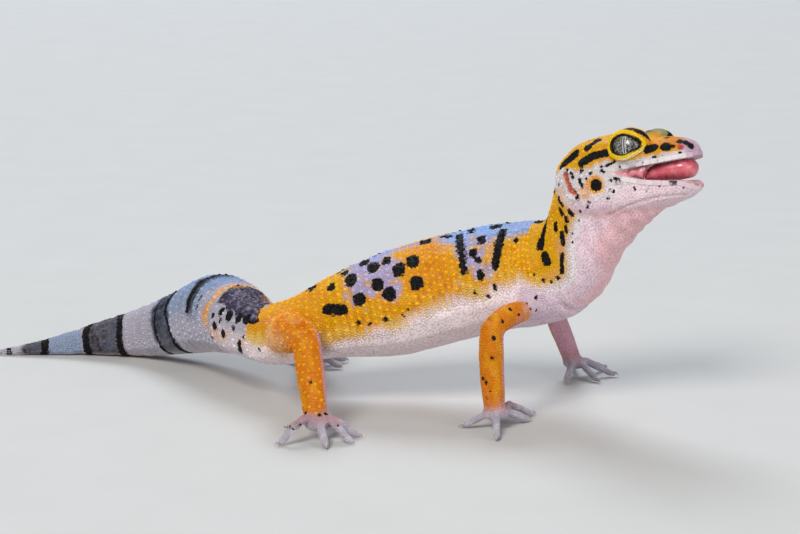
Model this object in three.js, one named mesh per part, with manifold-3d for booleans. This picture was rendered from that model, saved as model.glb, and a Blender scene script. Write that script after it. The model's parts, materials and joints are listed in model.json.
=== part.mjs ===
// Leopard gecko, a still life-size model of a young animal standing with its head raised, its mouth
// a little open and its tail laid on the ground.
// Millimetres, +Z up. The head looks along +X, the animal's left side faces +Y. The origin lies on the
// ground under the middle of the whole animal.
import * as THREE from 'three';
import { mergeVertices } from 'three/addons/utils/BufferGeometryUtils.js';
import Module from 'manifold-3d';

const wasm = await Module();
wasm.setup();

// ---------------------------------------------------------------------------------------------
// Driving dimensions
// ---------------------------------------------------------------------------------------------

const GAP = 0.3;                    // clearance between neighbouring solids
const HIP_GAP = 0.38;               // the same between the body and the limbs that meet it
const HEAD_LENGTH = 25.2;           // ear opening to snout tip
const HEAD_AT = [35.49, -6.28, 46.27];
const HEAD_TURN = -32;              // degrees, to the animal's right
const HEAD_LIFT = 12;               // degrees, nose up
const HEAD_ROLL = -8;               // degrees, left side down
const EYE_RADIUS = 3.15;
const EYE_AT = [13.75, 5.3, 3.75];   // left eye, in the head's own frame
const EYE_LOOK = [0.2, 0.95, 0.2];  // the way the left eye faces
const EYE_OPENING = [2.9, 2.05];    // half length and half height between the lids
const LID_THICKNESS = 0.6;
const HAND_TOE_RADIUS = 0.74;
const FOOT_TOE_RADIUS = 0.86;
const TOE_TIP = 0.35;               // how far a toe's rounded end reaches past its last joint

// A toe from the palm outwards: its share of the way, its height above the straight line, its share
// of that toe's own arch, and its thickness as a share of the toe's radius.
const TOE_SHAPE = [
  { share: 0, lift: 0, arch: 0, girth: 1.3 },
  { share: 0.35, lift: 0.5, arch: 1, girth: 1.15 },
  { share: 0.7, lift: 0.15, arch: 0.6, girth: 1 },
  { share: 0.92, lift: 0, arch: 0, girth: 0.95 },
];

// A claw from inside the toe's end outwards: how far past the toe's last joint, height and half width.
const CLAW_SHAPE = [
  { beyond: -0.5, height: 0.7, wide: 0.42 },
  { beyond: 0.33, height: 0.74, wide: 0.36 },
  { beyond: 0.9, height: 0.3, wide: 0.25 },
];

const SPINE_SIDES = 18;             // points round a section of the trunk, neck and tail
const RING_STEP = 0.42;             // spacing of those sections, in stations
const HEAD_SIDES = 18;
const HEAD_RINGS = 15;
const LIMB_SIDES = 10;
const TOE_SIDES = 5;
const MID_HEIGHT = 0.46;            // where a section of the body is widest, as a share of its height
const HEAD_MID_HEIGHT = 0.44;       // the same for the head
const BODY_SQUARENESS = 2.2;        // 2 is a true oval, more is boxier
const HEAD_SQUARENESS = 2.3;
const FINEST = 0.04;                // the least half width a limb's section may have
const NUDGE = 0.002;                // the step along the spine that gives its direction

// Where the body's named lengths begin and end, counted in stations of SPINE from the tail's tip.
const TAIL_TIP_END = 2.7;
const TAIL_MIDDLE_END = 5.5;
const TAIL_ROOT_END = 8.2;
const TRUNK_END = 16.3;
const NECK_END = 21;
const CUT = 0.045;                  // the gap left at each of those places, in stations
const CLOSEST = 0.1;                // the least spacing between two sections, in stations

// The body's line from the tail's tip to the back of the head. Each station has a point on the back,
// a point on the belly and the half width between the flanks.
const SPINE = [
  { back: [-88, 41.6, 0.9], belly: [-88, 41.6, 0], wide: 0.45 },
  { back: [-82, 41.9, 2.1], belly: [-82, 41.9, -0.1], wide: 1.1 },
  { back: [-75.6, 42.3, 3.5], belly: [-75.4, 42.3, -0.1], wide: 1.8 },
  { back: [-65.4, 42.6, 6.9], belly: [-64.6, 42.6, -0.1], wide: 3.4 },
  { back: [-54.8, 40.8, 10.8], belly: [-53.2, 40.2, 0.1], wide: 5.2 },
  { back: [-45.8, 34.8, 16], belly: [-43.8, 33.4, 2.2], wide: 7 },
  { back: [-38.6, 26.4, 20.8], belly: [-37, 25.4, 4.4], wide: 7.9 },
  { back: [-33.2, 17.2, 20.3], belly: [-32.2, 16.4, 6], wide: 7.7 },
  { back: [-29.8, 9.4, 18.8], belly: [-29.2, 9, 6.9], wide: 6 },
  { back: [-26.6, 5.4, 18.7], belly: [-24.4, 5.2, 6.6], wide: 6.8 },
  { back: [-21.2, 3, 20.6], belly: [-18.2, 3, 7.8], wide: 8.2 },
  { back: [-15, 2, 24.4], belly: [-11.2, 2, 9], wide: 9.6 },
  { back: [-4.4, 2, 29.4], belly: [0.4, 2, 9.4], wide: 11.8 },
  { back: [7, 1.6, 33], belly: [12, 1.6, 12.4], wide: 12 },
  { back: [17.2, 0.3, 35.5], belly: [22.2, 0.3, 15.1], wide: 10.8 },
  { back: [23.8, -0.8, 36.5], belly: [28, -1, 15.9], wide: 9.6 },
  { back: [28, -1.8, 37.1], belly: [34.2, -5, 18.5], wide: 8.8 },
  { back: [30, -2.8, 38.5], belly: [38.5, -9, 24], wide: 7.9 },
  { back: [30.5, -3.2, 41.4], belly: [41.4, -11.6, 30.8], wide: 7.2 },
  { back: [31, -3.6, 45.4], belly: [44.7, -13.5, 35.7], wide: 6.9 },
  { back: [32.2, -4.4, 48.6], belly: [48.2, -15.7, 39.8], wide: 6.6 },
  { back: [34.8, -6.2, 51], belly: [51, -17.2, 42.6], wide: 5.4 },
];

// The head from back to front in its own frame: along, highest, lowest, half width.
const HEAD = [
  { along: -3.4, top: 3.7, low: -8.6, wide: 6.2 },
  { along: -1.0, top: 5.1, low: -9.6, wide: 7.7 },
  { along: 2.7, top: 6.1, low: -10.1, wide: 8.8 },
  { along: 6.2, top: 6.6, low: -10.1, wide: 9.0 },
  { along: 10.0, top: 6.5, low: -9.7, wide: 8.5 },
  { along: 13.5, top: 6.1, low: -9.0, wide: 7.6 },
  { along: 16.6, top: 5.5, low: -8.2, wide: 6.6 },
  { along: 19.0, top: 5.4, low: -7.6, wide: 5.8 },
  { along: 21.1, top: 5.0, low: -7.1, wide: 5.0 },
  { along: 23.0, top: 4.5, low: -6.4, wide: 4.1 },
  { along: 24.4, top: 3.8, low: -5.7, wide: 2.9 },
  { along: HEAD_LENGTH, top: 2.6, low: -4.6, wide: 1.2 },
];

// The open mouth, as lines along and up in the head's own frame, from the corner to the front.
const MOUTH_CORNER = [10.2, -0.5];
const UPPER_LIP = [[16.1, -0.1], [20, 0.2], [24.4, 0.5], [30, 4.5]];
const LOWER_LIP = [[16.2, -2.6], [19.6, -3.1], [22.8, -3.4], [24.1, -4.1], [30, -8.6]];
const JAW_HINGE = [3.5, -5];
const MOUTH_HOLLOW = { at: [17.6, 0, -1.4], radii: [7.4, 4.8, 3.2] };

// ---------------------------------------------------------------------------------------------
// Solids
// ---------------------------------------------------------------------------------------------

const vector = (values) => new THREE.Vector3(...values);

function solidOf(geometry) {
  const bare = geometry.clone();
  bare.deleteAttribute('normal');
  bare.deleteAttribute('uv');
  const merged = mergeVertices(bare, 1e-5);
  const mesh = new wasm.Mesh({
    numProp: 3,
    vertProperties: new Float32Array(merged.attributes.position.array),
    triVerts: new Uint32Array(merged.index.array),
  });
  return new wasm.Manifold(mesh);
}

function geometryOf(solid) {
  const { vertProperties, triVerts } = solid.getMesh();
  const geometry = new THREE.BufferGeometry();
  geometry.setAttribute('position', new THREE.BufferAttribute(Float32Array.from(vertProperties), 3));
  geometry.setIndex(new THREE.BufferAttribute(Uint32Array.from(triVerts), 1));
  return geometry;
}

// Closes a row of rings into one solid, with a fan of triangles over each end.
function closeRings(rings) {
  const sides = rings[0].length;
  const points = rings.flat();
  const faces = [];
  for (let row = 0; row < rings.length - 1; row += 1) {
    for (let side = 0; side < sides; side += 1) {
      const here = row * sides + side;
      const next = row * sides + ((side + 1) % sides);
      faces.push(here, next, next + sides, here, next + sides, here + sides);
    }
  }
  const closeEnd = (ring, start, turned) => {
    const middle = points.push(ring.reduce((sum, p) => sum.add(p), new THREE.Vector3())
      .divideScalar(sides)) - 1;
    for (let side = 0; side < sides; side += 1) {
      const here = start + side;
      const next = start + ((side + 1) % sides);
      faces.push(...(turned ? [middle, next, here] : [middle, here, next]));
    }
  };
  closeEnd(rings[0], 0, true);
  closeEnd(rings[rings.length - 1], (rings.length - 1) * sides, false);
  const geometry = new THREE.BufferGeometry().setFromPoints(points);
  geometry.setIndex(faces);
  return geometry;
}

// An oval ring. It is widest at its middle and may reach further up than down.
function ovalRing({ middle, side, up, wide, above, below, squareness = BODY_SQUARENESS, sides }) {
  const ring = [];
  for (let index = 0; index < sides; index += 1) {
    const angle = (2 * Math.PI * (index + 0.5)) / sides;
    const across = Math.sign(Math.cos(angle)) * Math.abs(Math.cos(angle)) ** (2 / squareness);
    const rise = Math.sign(Math.sin(angle)) * Math.abs(Math.sin(angle)) ** (2 / squareness);
    ring.push(middle.clone()
      .addScaledVector(side, across * wide)
      .addScaledVector(up, rise * (rise > 0 ? above : below)));
  }
  return ring;
}

const smooth = (points) => new THREE.CatmullRomCurve3(points, false, 'catmullrom', 0.5);

// A length of the tail, trunk or neck, between two places counted in stations of SPINE.
function bodyLength(from, to, grow = 0) {
  const last = SPINE.length - 1;
  const back = smooth(SPINE.map((station) => vector(station.back)));
  const belly = smooth(SPINE.map((station) => vector(station.belly)));
  const width = smooth(SPINE.map((station) => new THREE.Vector3(station.wide, 0, 0)));
  const middleAt = (place) => back.getPoint(place).lerp(belly.getPoint(place), 1 - MID_HEIGHT);
  const places = [from];
  for (let step = Math.ceil((from + CLOSEST) / RING_STEP); step * RING_STEP < to - CLOSEST; step += 1) {
    places.push(step * RING_STEP);
  }
  places.push(to);
  const rings = [];
  for (const station of places) {
    const place = station / last;
    const top = back.getPoint(place);
    const bottom = belly.getPoint(place);
    const up = top.clone().sub(bottom);
    const tall = up.length();
    up.normalize();
    const ahead = middleAt(Math.min(place + NUDGE, 1)).sub(middleAt(Math.max(place - NUDGE, 0)));
    rings.push(ovalRing({
      middle: middleAt(place),
      side: up.clone().cross(ahead).normalize(),
      up,
      wide: width.getPoint(place).x + grow,
      above: tall * (1 - MID_HEIGHT) + grow,
      below: tall * MID_HEIGHT + grow,
      sides: SPINE_SIDES,
    }));
  }
  return solidOf(closeRings(rings));
}

// A limb, toe or claw through stations of place, half width and half depth. Its sections are turned so
// that their depth lies as near as it can to the given direction.
function limb(stations, { depthAlong = [0, 0, 1], sides = LIMB_SIDES, steps = 6, grow = 0 } = {}) {
  const path = smooth(stations.map((station) => vector(station.at)));
  const sizes = smooth(stations.map(({ wide, deep = wide }) => new THREE.Vector3(wide, deep, 0)));
  const rings = [];
  for (let step = 0; step <= steps; step += 1) {
    const place = step / steps;
    const ahead = path.getTangent(place);
    const side = vector(depthAlong).cross(ahead).normalize();
    const size = sizes.getPoint(place);
    rings.push(ovalRing({
      middle: path.getPoint(place),
      side,
      up: ahead.clone().cross(side),
      wide: Math.max(size.x, FINEST) + grow,
      above: Math.max(size.y, FINEST) + grow,
      below: Math.max(size.y, FINEST) + grow,
      squareness: 2,
      sides,
    }));
  }
  return solidOf(closeRings(rings));
}

function ellipsoid(at, radii, { around = 10, down = 7 } = {}) {
  const shape = new THREE.SphereGeometry(1, around, down);
  shape.scale(...radii).translate(...at);
  return solidOf(shape);
}

function box(low, high) {
  const size = vector(high).sub(vector(low));
  const shape = new THREE.BoxGeometry(size.x, size.y, size.z);
  const middle = vector(low).addScaledVector(size, 0.5);
  return solidOf(shape.translate(middle.x, middle.y, middle.z));
}

const ground = box([-150, -100, -20], [150, 100, 0]);
const aboveGround = (solid) => solid.subtract(ground);

// ---------------------------------------------------------------------------------------------
// Head, made in its own frame: +X to the snout, +Y to the left, +Z to the crown
// ---------------------------------------------------------------------------------------------

function headSurface(grow = 0) {
  const along = smooth(HEAD.map((station) => new THREE.Vector3(station.along, station.top, station.low)));
  const width = smooth(HEAD.map((station) => new THREE.Vector3(station.wide, 0, 0)));
  const rings = [];
  for (let step = 0; step <= HEAD_RINGS; step += 1) {
    const place = step / HEAD_RINGS;
    const { x, y: top, z: low } = along.getPoint(place);
    const tall = top - low;
    const endGrowth = { 0: -grow, [HEAD_RINGS]: grow }[step] ?? 0;
    rings.push(ovalRing({
      middle: new THREE.Vector3(x + endGrowth, 0, low + tall * HEAD_MID_HEIGHT),
      side: new THREE.Vector3(0, 1, 0),
      up: new THREE.Vector3(0, 0, 1),
      wide: width.getPoint(place).x + grow,
      above: tall * (1 - HEAD_MID_HEIGHT) + grow,
      below: tall * HEAD_MID_HEIGHT + grow,
      squareness: HEAD_SQUARENESS,
      sides: HEAD_SIDES,
    }));
  }
  return closeRings(rings);
}

// A prism across the whole head, from an outline along and up.
function acrossHead(outline) {
  const reach = 40;
  const shape = new THREE.Shape(outline.map(([along, up]) => new THREE.Vector2(along, up)));
  const prism = new THREE.ExtrudeGeometry(shape, { depth: 2 * reach, bevelEnabled: false });
  prism.rotateX(Math.PI / 2).translate(0, reach, 0);
  return solidOf(prism);
}

const onSide = (values, side) => [values[0], values[1] * side, values[2]];

// Where an eye sits, which way it faces, and the directions along and across its opening.
function eyeFrame(side) {
  const centre = vector(onSide(EYE_AT, side));
  const look = vector(onSide(EYE_LOOK, side)).normalize();
  const forward = new THREE.Vector3(1, 0, 0).projectOnPlane(look).normalize();
  const upward = look.clone().cross(forward).multiplyScalar(-side).normalize();
  return { centre, look, forward, upward };
}

// The lids: a thin dome over the eyeball with an oval opening, and a thicker rim round the opening.
function addLids(upper, side) {
  const { centre, look, forward, upward } = eyeFrame(side);
  const dome = ellipsoid(centre.toArray(), Array(3).fill(EYE_RADIUS + GAP + LID_THICKNESS),
    { around: 11, down: 7 });
  const opening = limb([
    { at: centre.toArray(), wide: EYE_OPENING[0], deep: EYE_OPENING[1] },
    { at: centre.clone().addScaledVector(look, 9).toArray(), wide: EYE_OPENING[0], deep: EYE_OPENING[1] },
  ], { depthAlong: upward.toArray(), sides: 10, steps: 1 });
  const socket = ellipsoid(centre.toArray(), Array(3).fill(EYE_RADIUS + GAP), { around: 12, down: 7 });
  const reach = EYE_RADIUS + GAP + LID_THICKNESS / 2;
  const corners = 12;
  const rim = [];
  for (let corner = 0; corner < corners; corner += 1) {
    const angle = (2 * Math.PI * corner) / corners;
    const place = forward.clone()
      .multiplyScalar((EYE_OPENING[0] + LID_THICKNESS / 2) * Math.cos(angle))
      .addScaledVector(upward, (EYE_OPENING[1] + LID_THICKNESS / 2) * Math.sin(angle));
    place.addScaledVector(look, Math.sqrt(reach ** 2 - place.lengthSq()));
    rim.push(place.add(centre));
  }
  const line = new THREE.CatmullRomCurve3(rim, true, 'catmullrom', 0.5);
  const rimTube = solidOf(new THREE.TubeGeometry(line, 12, LID_THICKNESS, 4, true));
  return upper.add(dome).subtract(opening).add(rimTube).subtract(socket);
}

function makeHead() {
  const cornerGap = [MOUTH_CORNER[0] + GAP, MOUTH_CORNER[1] - GAP];
  const above = acrossHead([[-30, 30], [-30, -40], [-0.5, -40], [-0.5, -13], JAW_HINGE, MOUTH_CORNER,
    ...UPPER_LIP, [30, 30]]);
  const below = acrossHead([[30, -40], ...LOWER_LIP.slice().reverse(), cornerGap,
    [JAW_HINGE[0] + GAP, JAW_HINGE[1] - GAP], [-0.1, -13], [-0.1, -40]]);
  const hollow = ellipsoid(MOUTH_HOLLOW.at, MOUTH_HOLLOW.radii);
  const whole = solidOf(headSurface());
  let upper = whole;
  for (const side of [1, -1]) upper = addLids(upper, side);
  return {
    head: upper.intersect(above).subtract(hollow),
    jaw: whole.intersect(below).subtract(hollow),
  };
}

function makeTongue() {
  const room = ellipsoid(MOUTH_HOLLOW.at, MOUTH_HOLLOW.radii.map((radius) => radius - GAP));
  const slab = limb([
    { at: [10.6, 0, -2.2], wide: 3.4, deep: 1.2 },
    { at: [14, 0, -2.0], wide: 3.9, deep: 1.5 },
    { at: [18, 0, -1.5], wide: 3.8, deep: 1.8 },
    { at: [21.5, 0, -1.3], wide: 3.2, deep: 1.9 },
    { at: [24.2, 0, -1.6], wide: 2.1, deep: 1.5 },
  ], { sides: 10, steps: 5 });
  return slab.intersect(room);
}

// ---------------------------------------------------------------------------------------------
// Legs, each with its root, middle joint and foot joint placed in the body's frame
// ---------------------------------------------------------------------------------------------

const LEGS = {
  arm_right: {
    names: ['upper_arm_right', 'forearm_right', 'hand_right'],
    upper: [
      { at: [27, -6, 23.4], wide: 3.2, deep: 3.5 },
      { at: [25.4, -10.6, 23.2], wide: 2.7, deep: 2.9 },
      { at: [23.2, -14.2, 22.5], wide: 2.4, deep: 2.7 },
      { at: [20.4, -17.4, 21.1], wide: 2.2, deep: 2.4 },
      { at: [17.7, -19.7, 19.6], wide: 2.2, deep: 2.2 },
    ],
    lower: [
      { at: [17.5, -19.7, 20.4], wide: 2.1 },
      { at: [17.3, -20.2, 17], wide: 2.5 },
      { at: [17.4, -20.7, 12], wide: 2.5 },
      { at: [17.7, -21, 7], wide: 2.3 },
      { at: [18, -21.2, 4.2], wide: 2.2 },
    ],
    toeRadius: HAND_TOE_RADIUS,
    palm: { at: [18.2, -21.2, 3.1], radii: [2.7, 2.3, 1.5] },
    toes: [[12.2, -20.8, 0], [18.1, -30.2, 0], [24.4, -16.4, 0.2], [25.6, -11.4, 1.2], [19.6, -13.2, 0.2]],
  },
  arm_left: {
    names: ['upper_arm_left', 'forearm_left', 'hand_left'],
    upper: [
      { at: [27.5, 2, 23], wide: 3.4, deep: 4 },
      { at: [28, 9, 21], wide: 2.8, deep: 3.2 },
      { at: [29.6, 14.4, 17.8], wide: 2.4, deep: 2.7 },
      { at: [31.2, 18.8, 14.6], wide: 2.3, deep: 2.4 },
    ],
    lower: [
      { at: [31.4, 18.6, 15.2], wide: 2 },
      { at: [32.2, 19.6, 12.2], wide: 2.2 },
      { at: [33.7, 21, 8.4], wide: 2.1 },
      { at: [34.9, 21.8, 5.2], wide: 2 },
      { at: [35.5, 22, 4], wide: 2 },
    ],
    toeRadius: HAND_TOE_RADIUS,
    palm: { at: [36, 22.2, 3], radii: [2.7, 2.3, 1.5] },
    toes: [[33.8, 15.4, 0.2], [40.4, 16.4, 0.2], [44, 21.6, 0.3], [42.6, 27.6, 0.2], [36, 30, 0.2]],
  },
  leg_right: {
    names: ['thigh_right', 'shin_right', 'foot_right'],
    upper: [
      { at: [-24.5, 0, 14.2], wide: 4, deep: 4.4 },
      { at: [-23.6, -7.5, 15.4], wide: 4, deep: 4.4 },
      { at: [-20.8, -14.4, 17], wide: 3.5, deep: 3.7 },
      { at: [-18, -19.4, 17.7], wide: 3, deep: 3.1 },
    ],
    lower: [
      { at: [-18.2, -19.8, 18.6], wide: 2.7 },
      { at: [-17.5, -21.2, 15.2], wide: 2.9 },
      { at: [-16.7, -24, 10], wide: 2.7 },
      { at: [-16.1, -26.6, 6.4], wide: 2.5 },
      { at: [-15.8, -28, 4.2], wide: 2.4 },
    ],
    toeRadius: FOOT_TOE_RADIUS,
    palm: { at: [-15.4, -29, 3.2], radii: [2.9, 2.5, 1.6] },
    toes: [[-22.4, -34.2, 1.7], [-13.7, -36, 0.2], [-9.2, -32.8, 1.4], [-8, -28.4, 1.2], [-11.4, -22.6, 0.4]],
  },
  leg_left: {
    names: ['thigh_left', 'shin_left', 'foot_left'],
    upper: [
      { at: [-24, 8, 12.6], wide: 4, deep: 4.4 },
      { at: [-22.6, 14.6, 13], wide: 3.9, deep: 4.2 },
      { at: [-20, 20.6, 13.6], wide: 3.4, deep: 3.6 },
      { at: [-17.4, 25.2, 13.8], wide: 3, deep: 3.1 },
    ],
    lower: [
      { at: [-18.3, 25, 14.6], wide: 2.7 },
      { at: [-18.5, 26.8, 11.6], wide: 2.8 },
      { at: [-18.9, 28.8, 8.4], wide: 2.6 },
      { at: [-19.3, 30.2, 5.6], wide: 2.4 },
      { at: [-19.5, 30.8, 4.2], wide: 2.4 },
    ],
    toeRadius: FOOT_TOE_RADIUS,
    palm: { at: [-19.4, 31.6, 3.2], radii: [2.9, 2.5, 1.6] },
    toes: [[-24.4, 35.8, 0.4], [-20.4, 39.4, 0.3], [-15, 38.6, 0.3], [-11.8, 34.6, 0.3], [-12.8, 28.6, 0.3]],
  },
};

// One toe from the palm to its tip, arched over its knuckle, with a hooked claw.
function toe(palm, [x, y, arch], radius, grow) {
  const root = vector(palm);
  const end = new THREE.Vector3(x, y, radius * 0.85);
  const ahead = end.clone().sub(root).setZ(0).normalize();
  const beyond = (reach, height) => [end.x + ahead.x * reach, end.y + ahead.y * reach, height];
  const stations = TOE_SHAPE.map((shape) => {
    const place = root.clone().lerp(end, shape.share);
    place.z += shape.lift + shape.arch * arch;
    return { at: place.toArray(), wide: radius * shape.girth };
  });
  stations.push({ at: beyond(TOE_TIP, radius * 0.8), wide: radius * 0.55 });
  const finger = limb(stations, { sides: TOE_SIDES, steps: 4, grow });
  const claw = limb(CLAW_SHAPE.map((shape) => (
    { at: beyond(shape.beyond, shape.height), wide: shape.wide }
  )), { sides: 4, steps: 2 });
  return finger.add(claw);
}

function makeFoot({ palm, toes, toeRadius }, grow = 0) {
  const radii = palm.radii.map((radius) => radius + grow);
  let foot = ellipsoid(palm.at, radii, { around: 9, down: 5 });
  for (const place of toes) foot = foot.add(toe(palm.at, place, toeRadius, grow));
  return foot;
}

function makeLeg(leg, trunkGrown) {
  const upperWay = { depthAlong: [0, 0, 1], steps: 5 };
  const upper = limb(leg.upper, upperWay);
  const upperGrown = limb(leg.upper, { ...upperWay, grow: GAP });
  const lower = limb(leg.lower, { depthAlong: [1, 0, 0], steps: 5 });
  return [
    upper.subtract(trunkGrown),
    lower.subtract(upperGrown).subtract(makeFoot(leg, GAP)),
    aboveGround(makeFoot(leg)),
  ];
}

// ---------------------------------------------------------------------------------------------
// The animal
// ---------------------------------------------------------------------------------------------

const FINISHES = {
  yellowSkin: { color: '#d9952a', roughness: 0.6 },
  orangeSkin: { color: '#d97f1f', roughness: 0.6 },
  paleSkin: { color: '#d9c7cf', roughness: 0.6 },
  tailSkin: { color: '#a9a8b4', roughness: 0.6 },
  tongueFlesh: { color: '#d8606a', roughness: 0.3 },
  eyeball: { color: '#8d8d92', roughness: 0.1 },
};

function named(name, solid, finish) {
  const material = new THREE.MeshStandardMaterial({ metalness: 0, ...FINISHES[finish] });
  const mesh = new THREE.Mesh(geometryOf(solid), material);
  mesh.name = name;
  return mesh;
}

const gecko = new THREE.Group();

const headGroup = new THREE.Group();
headGroup.position.set(...HEAD_AT);
headGroup.rotation.set(THREE.MathUtils.degToRad(HEAD_ROLL), THREE.MathUtils.degToRad(-HEAD_LIFT),
  THREE.MathUtils.degToRad(HEAD_TURN), 'ZYX');
headGroup.updateMatrix();

const { head, jaw } = makeHead();
headGroup.add(named('head', head, 'yellowSkin'));
headGroup.add(named('lower_jaw', jaw, 'paleSkin'));
headGroup.add(named('tongue', makeTongue(), 'tongueFlesh'));
for (const [name, side] of [['eye_left', 1], ['eye_right', -1]]) {
  const eyeball = ellipsoid(onSide(EYE_AT, side), Array(3).fill(EYE_RADIUS), { around: 12, down: 8 });
  headGroup.add(named(name, eyeball, 'eyeball'));
}
gecko.add(headGroup);

const headGrown = solidOf(headSurface(GAP).applyMatrix4(headGroup.matrix));
const neck = bodyLength(TRUNK_END + CUT, NECK_END).subtract(headGrown);
const trunk = bodyLength(TAIL_ROOT_END, TRUNK_END - CUT);
gecko.add(named('neck', neck, 'paleSkin'));
gecko.add(named('trunk', trunk, 'yellowSkin'));
gecko.add(named('tail_root', bodyLength(TAIL_MIDDLE_END, TAIL_ROOT_END - CUT), 'tailSkin'));
gecko.add(named('tail_middle',
  aboveGround(bodyLength(TAIL_TIP_END, TAIL_MIDDLE_END - CUT)), 'tailSkin'));
gecko.add(named('tail_tip', aboveGround(bodyLength(0, TAIL_TIP_END - CUT)), 'tailSkin'));

const trunkGrown = bodyLength(TAIL_ROOT_END - 1.5, TRUNK_END + 1, HIP_GAP);
for (const leg of Object.values(LEGS)) {
  const [upper, lower, foot] = makeLeg(leg, trunkGrown);
  gecko.add(named(leg.names[0], upper, 'orangeSkin'));
  gecko.add(named(leg.names[1], lower, 'orangeSkin'));
  gecko.add(named(leg.names[2], foot, 'paleSkin'));
}

// The origin goes to the ground under the middle of the whole animal.
gecko.updateMatrixWorld(true);
const reach = new THREE.Box3().setFromObject(gecko, true);
const centre = reach.getCenter(new THREE.Vector3());
gecko.position.set(-centre.x, -centre.y, -reach.min.z);

export default gecko;
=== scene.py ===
import functools
import json
import math

import bmesh
import bpy
import numpy as np
from mathutils import Matrix, Vector
from mathutils.bvhtree import BVHTree
from mathutils.kdtree import KDTree

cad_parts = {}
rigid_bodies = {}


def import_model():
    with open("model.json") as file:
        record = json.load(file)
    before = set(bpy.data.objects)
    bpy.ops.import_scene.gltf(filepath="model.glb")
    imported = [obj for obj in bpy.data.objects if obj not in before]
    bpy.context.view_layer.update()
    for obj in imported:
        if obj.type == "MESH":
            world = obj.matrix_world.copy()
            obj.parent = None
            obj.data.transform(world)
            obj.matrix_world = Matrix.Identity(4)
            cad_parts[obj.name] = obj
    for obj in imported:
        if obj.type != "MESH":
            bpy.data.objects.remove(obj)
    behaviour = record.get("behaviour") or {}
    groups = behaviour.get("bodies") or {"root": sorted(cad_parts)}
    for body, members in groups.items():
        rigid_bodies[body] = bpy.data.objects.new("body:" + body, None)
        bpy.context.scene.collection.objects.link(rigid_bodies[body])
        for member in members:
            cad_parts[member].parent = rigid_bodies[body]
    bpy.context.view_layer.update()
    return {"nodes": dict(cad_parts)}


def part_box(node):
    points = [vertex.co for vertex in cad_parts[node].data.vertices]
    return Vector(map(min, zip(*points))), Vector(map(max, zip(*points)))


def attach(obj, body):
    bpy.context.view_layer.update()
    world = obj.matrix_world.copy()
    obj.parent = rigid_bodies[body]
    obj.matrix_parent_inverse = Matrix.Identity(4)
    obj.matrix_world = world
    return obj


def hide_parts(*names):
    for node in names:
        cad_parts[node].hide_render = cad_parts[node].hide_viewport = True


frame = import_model()
NODES = frame["nodes"]
MM = 0.001

# ---- Driving sizes ----

HEAD_TURN = -32                     # degrees, to the animal's right
HEAD_LIFT = 12                      # degrees, nose up
HEAD_AT = (35.49, -6.28, 46.27)     # the head's own origin, measured from the model's working origin
EYE_AT = (13.75, 5.3, 3.75)         # left eye in the head's frame: forward, left, up
EYE_LOOK = (0.2, 0.95, 0.2)         # the way it faces, in the same frame
EYE_SHIFT = (-0.4, 0, 0.12)         # of the finished eyes from the solids' own: forward, out, up
EYE_RADIUS = 3.15                   # of the solids' eyes
EYE_SWELL = 0.13                    # added to it in the finished eyeballs, which fill their lids
LID_SPHERE = 3.45                   # radius at which lengths over the lids are measured
LID_DEPTH = 2.4                     # of the flesh round an eyeball that moves with its lids
SOLID_OPENING = (3.2, 2.1)          # half length and half height of the opening in the solids
LID_OPENING = (2.98, 2.08)          # the same between the finished lids
LID_CORNER = 0.2                    # share by which its front corner is drawn out
LID_SHIFT = (-0.36, -0.28)          # of the finished opening's middle from the look: forward, up
LID_WIDTH = 0.74                    # of the bright roll round the opening

# The open mouth's edges in the head's frame, forward and up, from its corner to the front.
UPPER_LIP = [(10.2, -0.5), (16.1, -0.1), (20, 0.2), (24.4, 0.5), (26, 1.4)]
LOWER_LIP = [(10.2, -0.8), (16.2, -2.6), (19.6, -3.1), (22.8, -3.4), (24.1, -4.1), (26, -5.5)]

VOXEL = 0.33                        # of the remesh that makes all the flesh one skin
SWELL = 0.2                         # closes the gaps between the solids
THIN_SWELL = 0.06                   # the same on the head, hands and feet
WELD = 1e-7                         # metres within which a solid's loose corners are merged
SKIN_TRIANGLES = 186000
COAT_DEPTH = {"body": 0.16, "legs": 0.1, "head": 0.1, "feet": 0.04}   # of the skin under the solids
# Each leg's root is drawn into the body, so that it runs into the flank without a shoulder: the share
# by which it gets thinner, and how far it moves forward, left on a left leg or right on a right, and up.
LEG_TUCK = {"upper_arm": (0.32, (0, -0.8, -1.5)), "thigh": (0.24, (1.6, -1.4, 0.2))}
LIP_START = 12.9                    # where the lips' plates begin, forward in the head's frame
MUZZLE_CENTRE = 19.0                # of the round front of the lips, in the same way
CLAWS = 5                           # on each hand and foot
CLAW_LENGTH = 0.95
CLAW_ROOT = 0.36                    # half the width of a claw at its root
TONGUE_VOXEL = 0.2                  # of the remesh of the tongue
CROWN_RISE = 0.75                   # of the skin behind the eyes, over the solids
TRUNK_ROWS = (27, 84, 1.5)          # first and last row of tubercles, and their spacing

FLESH = [
    "head", "lower_jaw", "neck", "trunk", "tail_root", "tail_middle", "tail_tip",
    "upper_arm_right", "forearm_right", "hand_right", "upper_arm_left", "forearm_left", "hand_left",
    "thigh_right", "shin_right", "foot_right", "thigh_left", "shin_left", "foot_left",
]
HEAD_PARTS = ("head", "lower_jaw")
TAIL_PARTS = ("tail_root", "tail_middle", "tail_tip")
BODY_PARTS = ("neck", "trunk") + TAIL_PARTS
FEET = ("hand_right", "hand_left", "foot_right", "foot_left")
LIMBS = tuple(name for name in FLESH if name not in HEAD_PARTS + BODY_PARTS + FEET)
UPPER_LEGS = tuple(name for name in LIMBS if name.startswith(tuple(LEG_TUCK)))

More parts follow.
